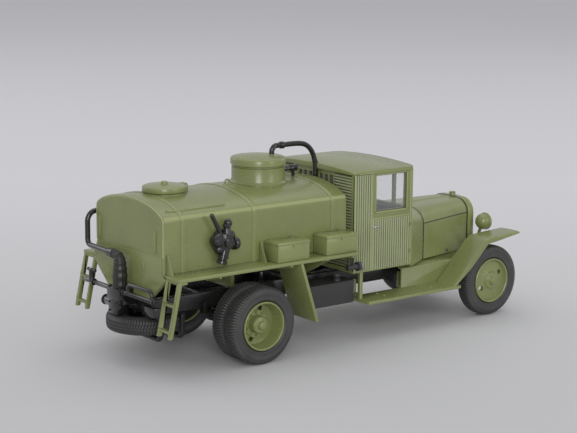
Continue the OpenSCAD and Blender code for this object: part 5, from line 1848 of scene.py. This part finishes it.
@dataclass
class Fittings:
    """Pumps, pipes, valves and the hose.

    Attributes:
        strands: Crossing strands round the braided hose.
    """

    strands: int = 14

    def build(self) -> None:
        """Builds the black gear of the tank."""
        for node, width in (("dome_valve", 0.08), ("rear_pipe", 0.0), ("rear_pump", 0.1)):
            softened(node, GLOSS, width)
        softened("delivery_valve", GREY, 0.08)
        self.side_pump()
        self.vent()
        self.hose()
        self.rear_gear()
        self.delivery()

    def side_pump(self) -> None:
        """Builds the hand pump on the right side of the tank."""
        x, y, z = PUMP_AT
        out = (0, -1, 0)
        middle = y - 1.85
        shape = Shape()
        plate = [(0, -0.1), (3.2, -0.1), (3.2, 0.55), (3.05, 0.75), (2.5, 0.8), (0, 0.8)]
        shape.lathe(plate, facing((x, y, z), out), 56)
        drum = [
            (0, 0.5), (2.5, 0.5), (2.5, 2.5), (2.3, 2.9), (1.6, 3.15), (1.25, 3.2), (1.1, 3.4),
            (1.05, 3.9), (0, 4.12),
        ]
        shape.lathe(drum, facing((x, y, z), out), 48)
        for k in range(8):
            angle = math.tau * (k + 0.5) / 8
            spot = Vector((x + 2.85 * math.cos(angle), y - 0.7, z + 2.85 * math.sin(angle)))
            shape.nut(facing(spot, out), 0.3, 0.3, 0.15)
        inlet = [(0, 0), (1.6, 0), (1.65, 2.1), (1.85, 2.3), (1.85, 3.2), (1.6, 3.5), (1.2, 3.95), (0, 4.1)]
        shape.lathe(inlet, facing((x, middle, z + 0.2), (-1, 0, 0.1)), 28)
        outlet = [
            (0, 0), (1.25, 0), (1.25, 2.5), (1.68, 2.7), (1.75, 2.9), (1.75, 3.6), (1.5, 3.75),
            (1.45, 4.2), (0, 4.35),
        ]
        shape.lathe(outlet, facing((x, middle, z - 0.6), (1, 0, -0.05)), 28)
        spigot = [
            (0, 0), (1.3, 0), (1.3, 2.1), (1.45, 2.2), (1.45, 2.7), (1.1, 2.85), (1.1, 3.3),
            (1.4, 3.5), (1.4, 4.3),
        ]
        spout = facing((x + 0.2, middle, z - 1.6), (-0.27, 0, -0.96))
        shape.lathe([*spigot, (1.1, 4.45), (0, 4.45)], spout, 28)
        neck = [
            (0, 0), (1.2, 0), (1.2, 1.1), (0.95, 1.5), (0.95, 2.4), (1.15, 2.6), (1.15, 3.0),
            (0.9, 3.3), (0, 3.4),
        ]
        shape.lathe(neck, facing((x + 0.7, middle, z + 1.5), (0, 0, 1)), 24)
        for dx, dz, r in ((1.1, 5.0, 1.15), (-1.9, -1.8, 1.3), (1.9, 1.6, 1.3), (-2.1, 1.9, 1.1)):
            ball = [(r * math.sin(math.pi * k / 10), -r * math.cos(math.pi * k / 10)) for k in range(11)]
            shape.lathe(ball, facing((x + dx, middle, z + dz), out), 20)
        lever = [
            (x - 0.8, middle, z + 1.2), (x - 2.5, middle - 0.2, z + 4.3),
            (x - 4.3, middle - 0.3, z + 7.5),
        ]
        shape.tube(smooth_path(lever), lambda share, angle: 0.66 - 0.1 * share, 14)
        knob = [(0.6 * math.sin(math.pi * k / 8), -0.6 * math.cos(math.pi * k / 8)) for k in range(9)]
        shape.lathe(knob, facing(lever[-1], (-0.5, 0, 0.85)), 16)
        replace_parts(shape.piece("hand_pump", GLOSS), "side_pump")

    def vent(self) -> None:
        """Builds the vent pipe that arches from the dome to the cab."""
        box = Span.of("vent_pipe")
        y, top = box.middle.y, box.high.z - 0.75
        x0, x1 = box.low.x + 0.8, box.high.x - 0.8
        points = [(x0, y, top - 2.4), (x0 + 0.1, y, top - 1.1), (x0 + 1.1, y, top - 0.1), (x0 + 3.0, y, top)]
        points += [
            (x1 - 6.4, y, top), (x1 - 3.2, y, top - 0.8), (x1 - 1.2, y, top - 2.9),
            (x1 - 0.2, y, top - 5.6),
        ]
        path = smooth_path([*points, (x1, y, top - 8.5), (x1, y, box.low.z + 0.1)])
        shape = Shape().tube(path, 0.75, 20)
        collar = [(0.6, -0.6), (0.95, -0.6), (1.02, -0.5), (1.02, 0.5), (0.95, 0.6), (0.6, 0.6)]
        shape.ring(collar, facing((x0 + 3.5, y, top), (1, 0, 0)), 24)
        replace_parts(shape.piece("curved_vent", GLOSS), "vent_pipe")

    def hose(self) -> None:
        """Builds the braided hose, which widens from the pipe down to the pump."""
        box = Span.of("rear_hose")
        x, start = box.middle.x, box.high.y
        top, low = box.high.z - 1.2, box.low.z
        points = [(x, start, top), (x, 2.3, top), (x, 0.8, top - 0.55), (x, HOSE_Y + 0.05, top - 2.0)]
        path = smooth_path([*points, (x, HOSE_Y, low + 4.0), (x, HOSE_Y, low)], 22)

        def braid(share: float, angle: float) -> float:
            """Gives the hose's radius with its crossing strands.

            Args:
                share: Share of the hose's length.
                angle: Angle round the hose in radians.

            Returns:
                The radius.
            """
            twist = 26.0 * share
            weave = math.sin(self.strands * angle / 2 + twist) * math.sin(self.strands * angle / 2 - twist)
            wide = min(1.0, max(0.0, (share - 0.25) / 0.6))
            return 1.1 + 0.8 * wide + 0.14 * weave

        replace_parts(Shape().tube(path, braid, 56).piece("braided_hose", BRAID, crease=60), "rear_hose")
        sleeve = [(0, 0), (1.2, 0), (1.28, 0.1), (1.28, 0.9), (1.18, 1.0), (0, 1.0)]
        Shape().lathe(sleeve, facing((x, start + 0.05, top), (0, -1, 0)), 24).piece("hose_sleeve", GLOSS)

    def rear_gear(self) -> None:
        """Builds the collars, caps and bolts of the rear pump."""
        face = Span.of("rear_pump").low.x
        bar_x, bar_z = face + 1.2, FRAME_TOP + 1.8
        shape = Shape()
        collar = [(0.5, -0.25), (0.9, -0.25), (0.96, -0.16), (0.96, 0.16), (0.9, 0.25), (0.5, 0.25)]
        for y in (4.1, 12.2, -3.0, -17.3):
            shape.ring(collar, facing((bar_x, y, bar_z), (0, 1, 0)), 20)
        ball = [(0.52 * math.sin(math.pi * k / 8), -0.52 * math.cos(math.pi * k / 8)) for k in range(9)]
        for y in (11.7, 13.3, 14.9):
            shape.lathe(ball, facing((bar_x, y, bar_z + 3.2), (0, 0, 1)), 16)
        cap = [
            (0, -0.4), (1.38, -0.4), (1.45, -0.3), (1.45, 0.05), (1.2, 0.25), (0.5, 0.3),
            (0.45, 0.6), (0, 0.65),
        ]
        shape.lathe(cap, facing((face + 2.0, 7.5, FRAME_BOT + 2), (0, 1, 0)), 28)
        shape.block((face + 0.05, -1.15, FRAME_BOT - 0.55), (face + 3.6, 3.35, FRAME_TOP - 0.7), 0.5)
        shape.block((face - 0.1, -2.5, FRAME_TOP - 0.65), (face + 4.4, 3.7, FRAME_TOP + 2.38), 0.35)
        for dx in (0.6, 3.9):
            for y in (-1.9, 3.1):
                shape.nut(facing((face + dx, y, FRAME_TOP + 2.35), (0, 0, 1)), 0.36, 0.3, 0.15)
        for y in (-0.4, 2.6):
            for z in (FRAME_BOT + 0.3, FRAME_TOP - 1.5):
                shape.nut(facing((face + 0.05, y, z), (-1, 0, 0)), 0.3, 0.25, 0.1)
        shape.piece("rear_pump_fittings", GLOSS)

    def delivery(self) -> None:
        """Builds the cap and wing nut of the shut-off valve under the walkway."""
        valve = Span.of("delivery_valve")
        y, z = valve.middle.y, valve.low.z + 1.3
        shape = Shape()
        cap = [(0, -0.6), (1.1, -0.6), (1.2, -0.5), (1.2, 0.0), (0.9, 0.15), (0, 0.15)]
        shape.lathe(cap, facing((valve.high.x - 0.2, y, z), (1, 0, 0)), 24)
        shape.block((31.9, y - 0.7, WALK_Z - 1.0), (32.5, y + 0.7, WALK_Z + 0.02), 0.1)
        shape.piece("delivery_cap", STEEL)


@dataclass(frozen=True)
class Studio:
    """Camera, floor and light.

    Attributes:
        place: Camera's place in truck coordinates.
        azimuth: Turn of the view from straight ahead, in degrees.
        elevation: How far the camera looks down, in degrees.
        roll: Tilt of the picture, in degrees.
        lens: Focal length for a 36 mm wide sensor.
        floor_near: Floor colour of 0 to 255 before the truck, kept darker as painted shade.
        floor_far: Floor colour of 0 to 255 behind it.
        fade: Where the floor's colour changes, in metres along the view.
    """

    place: Point3 = (-254.98, -359.56, 120.71)
    azimuth: float = -38.04
    elevation: float = 10.76
    roll: float = 0.54
    lens: float = 101.64
    floor_near: tuple[int, int, int] = (196, 196, 197)
    floor_far: tuple[int, int, int] = (216, 216, 219)
    fade: tuple[float, float] = (-0.1, 0.25)

    def camera(self) -> None:
        """Sets the camera to the photograph's view."""
        turn, drop, roll = (math.radians(a) for a in (self.azimuth, self.elevation, self.roll))
        back = Vector((math.sin(turn) * math.cos(drop), -math.cos(turn) * math.cos(drop), math.sin(drop)))
        level = Vector((0, 0, 1)).cross(back).normalized()
        upright = back.cross(level)
        right = math.cos(roll) * level + math.sin(roll) * upright
        up = math.cos(roll) * upright - math.sin(roll) * level
        data = bpy.data.cameras.new("photo view")
        data.sensor_width = 36
        data.lens = self.lens
        data.clip_start = 0.01
        camera = bpy.data.objects.new("photo view", data)
        spot = (Vector(self.place) + Vector((Datum.rear_axle_x, 0, 0))) * MM
        camera.matrix_world = Matrix((right, up, back)).transposed().to_4x4()
        camera.location = spot
        bpy.context.scene.collection.objects.link(camera)
        bpy.context.scene.camera = camera

    def light(self) -> None:
        """Builds the floor, the soft lamps and the even surround."""
        mesh = bpy.data.meshes.new("floor")
        reach = 6.0
        corners = [(-reach, -reach, 0), (reach, -reach, 0), (reach, reach, 0), (-reach, reach, 0)]
        mesh.from_pydata(corners, [], [(0, 1, 2, 3)])
        floor = bpy.data.objects.new("floor", mesh)
        bpy.context.scene.collection.objects.link(floor)
        mesh.materials.append(self.floor_material())
        for name, place, power, size in (
            ("overhead", (0.1, 0.2, 0.9), 1.7, (0.9, 0.9)),
            ("front box", (-0.56, -0.8, 0.34), 3.6, (0.3, 0.6)),
            ("side box", (0.3, -0.8, 0.3), 0.8, (0.2, 0.5)),
            ("far box", (-0.35, 0.95, 0.4), 0.9, (0.5, 0.5)),
            ("fore box", (0.95, 0.05, 0.4), 0.5, (0.4, 0.4)),
        ):
            data = bpy.data.lights.new(name, "AREA")
            data.shape = "RECTANGLE"
            data.energy = power
            data.size, data.size_y = size
            lamp = bpy.data.objects.new(name, data)
            lamp.matrix_world = facing(place, place)
            bpy.context.scene.collection.objects.link(lamp)
        world = bpy.data.worlds.new("surround")
        world.use_nodes = True
        surround = world.node_tree.nodes["Background"]
        surround.inputs["Color"].default_value = linear(200, 200, 202)
        bpy.context.scene.world = world
        bpy.context.scene.view_settings.view_transform = "Standard"

    def floor_material(self) -> bpy.types.Material:
        """Builds the pale floor, which is a little darker towards the camera as painted shade.

        Returns:
            The material.
        """
        material = bpy.data.materials.new("pale floor")
        material.use_nodes = True
        nodes, links = material.node_tree.nodes, material.node_tree.links
        shader = nodes["Principled BSDF"]
        form = nodes.new("ShaderNodeNewGeometry")
        depth = nodes.new("ShaderNodeVectorMath")
        depth.operation = "DOT_PRODUCT"
        turn = math.radians(self.azimuth)
        depth.inputs[1].default_value = (-math.sin(turn), math.cos(turn), 0)
        share = nodes.new("ShaderNodeMapRange")
        share.inputs["From Min"].default_value = self.fade[0]
        share.inputs["From Max"].default_value = self.fade[1]
        mix = nodes.new("ShaderNodeMix")
        mix.data_type = "RGBA"
        mix.inputs["A"].default_value = linear(*self.floor_near)
        mix.inputs["B"].default_value = linear(*self.floor_far)
        shader.inputs["Roughness"].default_value = 0.7
        shader.inputs["Specular IOR Level"].default_value = 0.2
        links.new(form.outputs["Position"], depth.inputs[0])
        links.new(depth.outputs["Value"], share.inputs["Value"])
        links.new(share.outputs["Result"], mix.inputs["Factor"])
        links.new(mix.outputs["Result"], shader.inputs["Base Color"])
        return material


def main() -> None:
    """Builds the dressed truck and the studio around it."""
    logging.basicConfig(level=logging.INFO)
    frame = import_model()
    Datum.take(frame)
    studio = Studio()
    studio.camera()
    studio.light()
    for assembly in (Chassis(), Wheels(), Cab(), Nose(), Tank(), Fittings()):
        assembly.build()
    for name in ("front_left_rim", "front_right_rim", "rear_left_rims", "rear_right_rims"):
        softened(name, PAINT, 0.1)


if __name__ == "__main__":
    main()
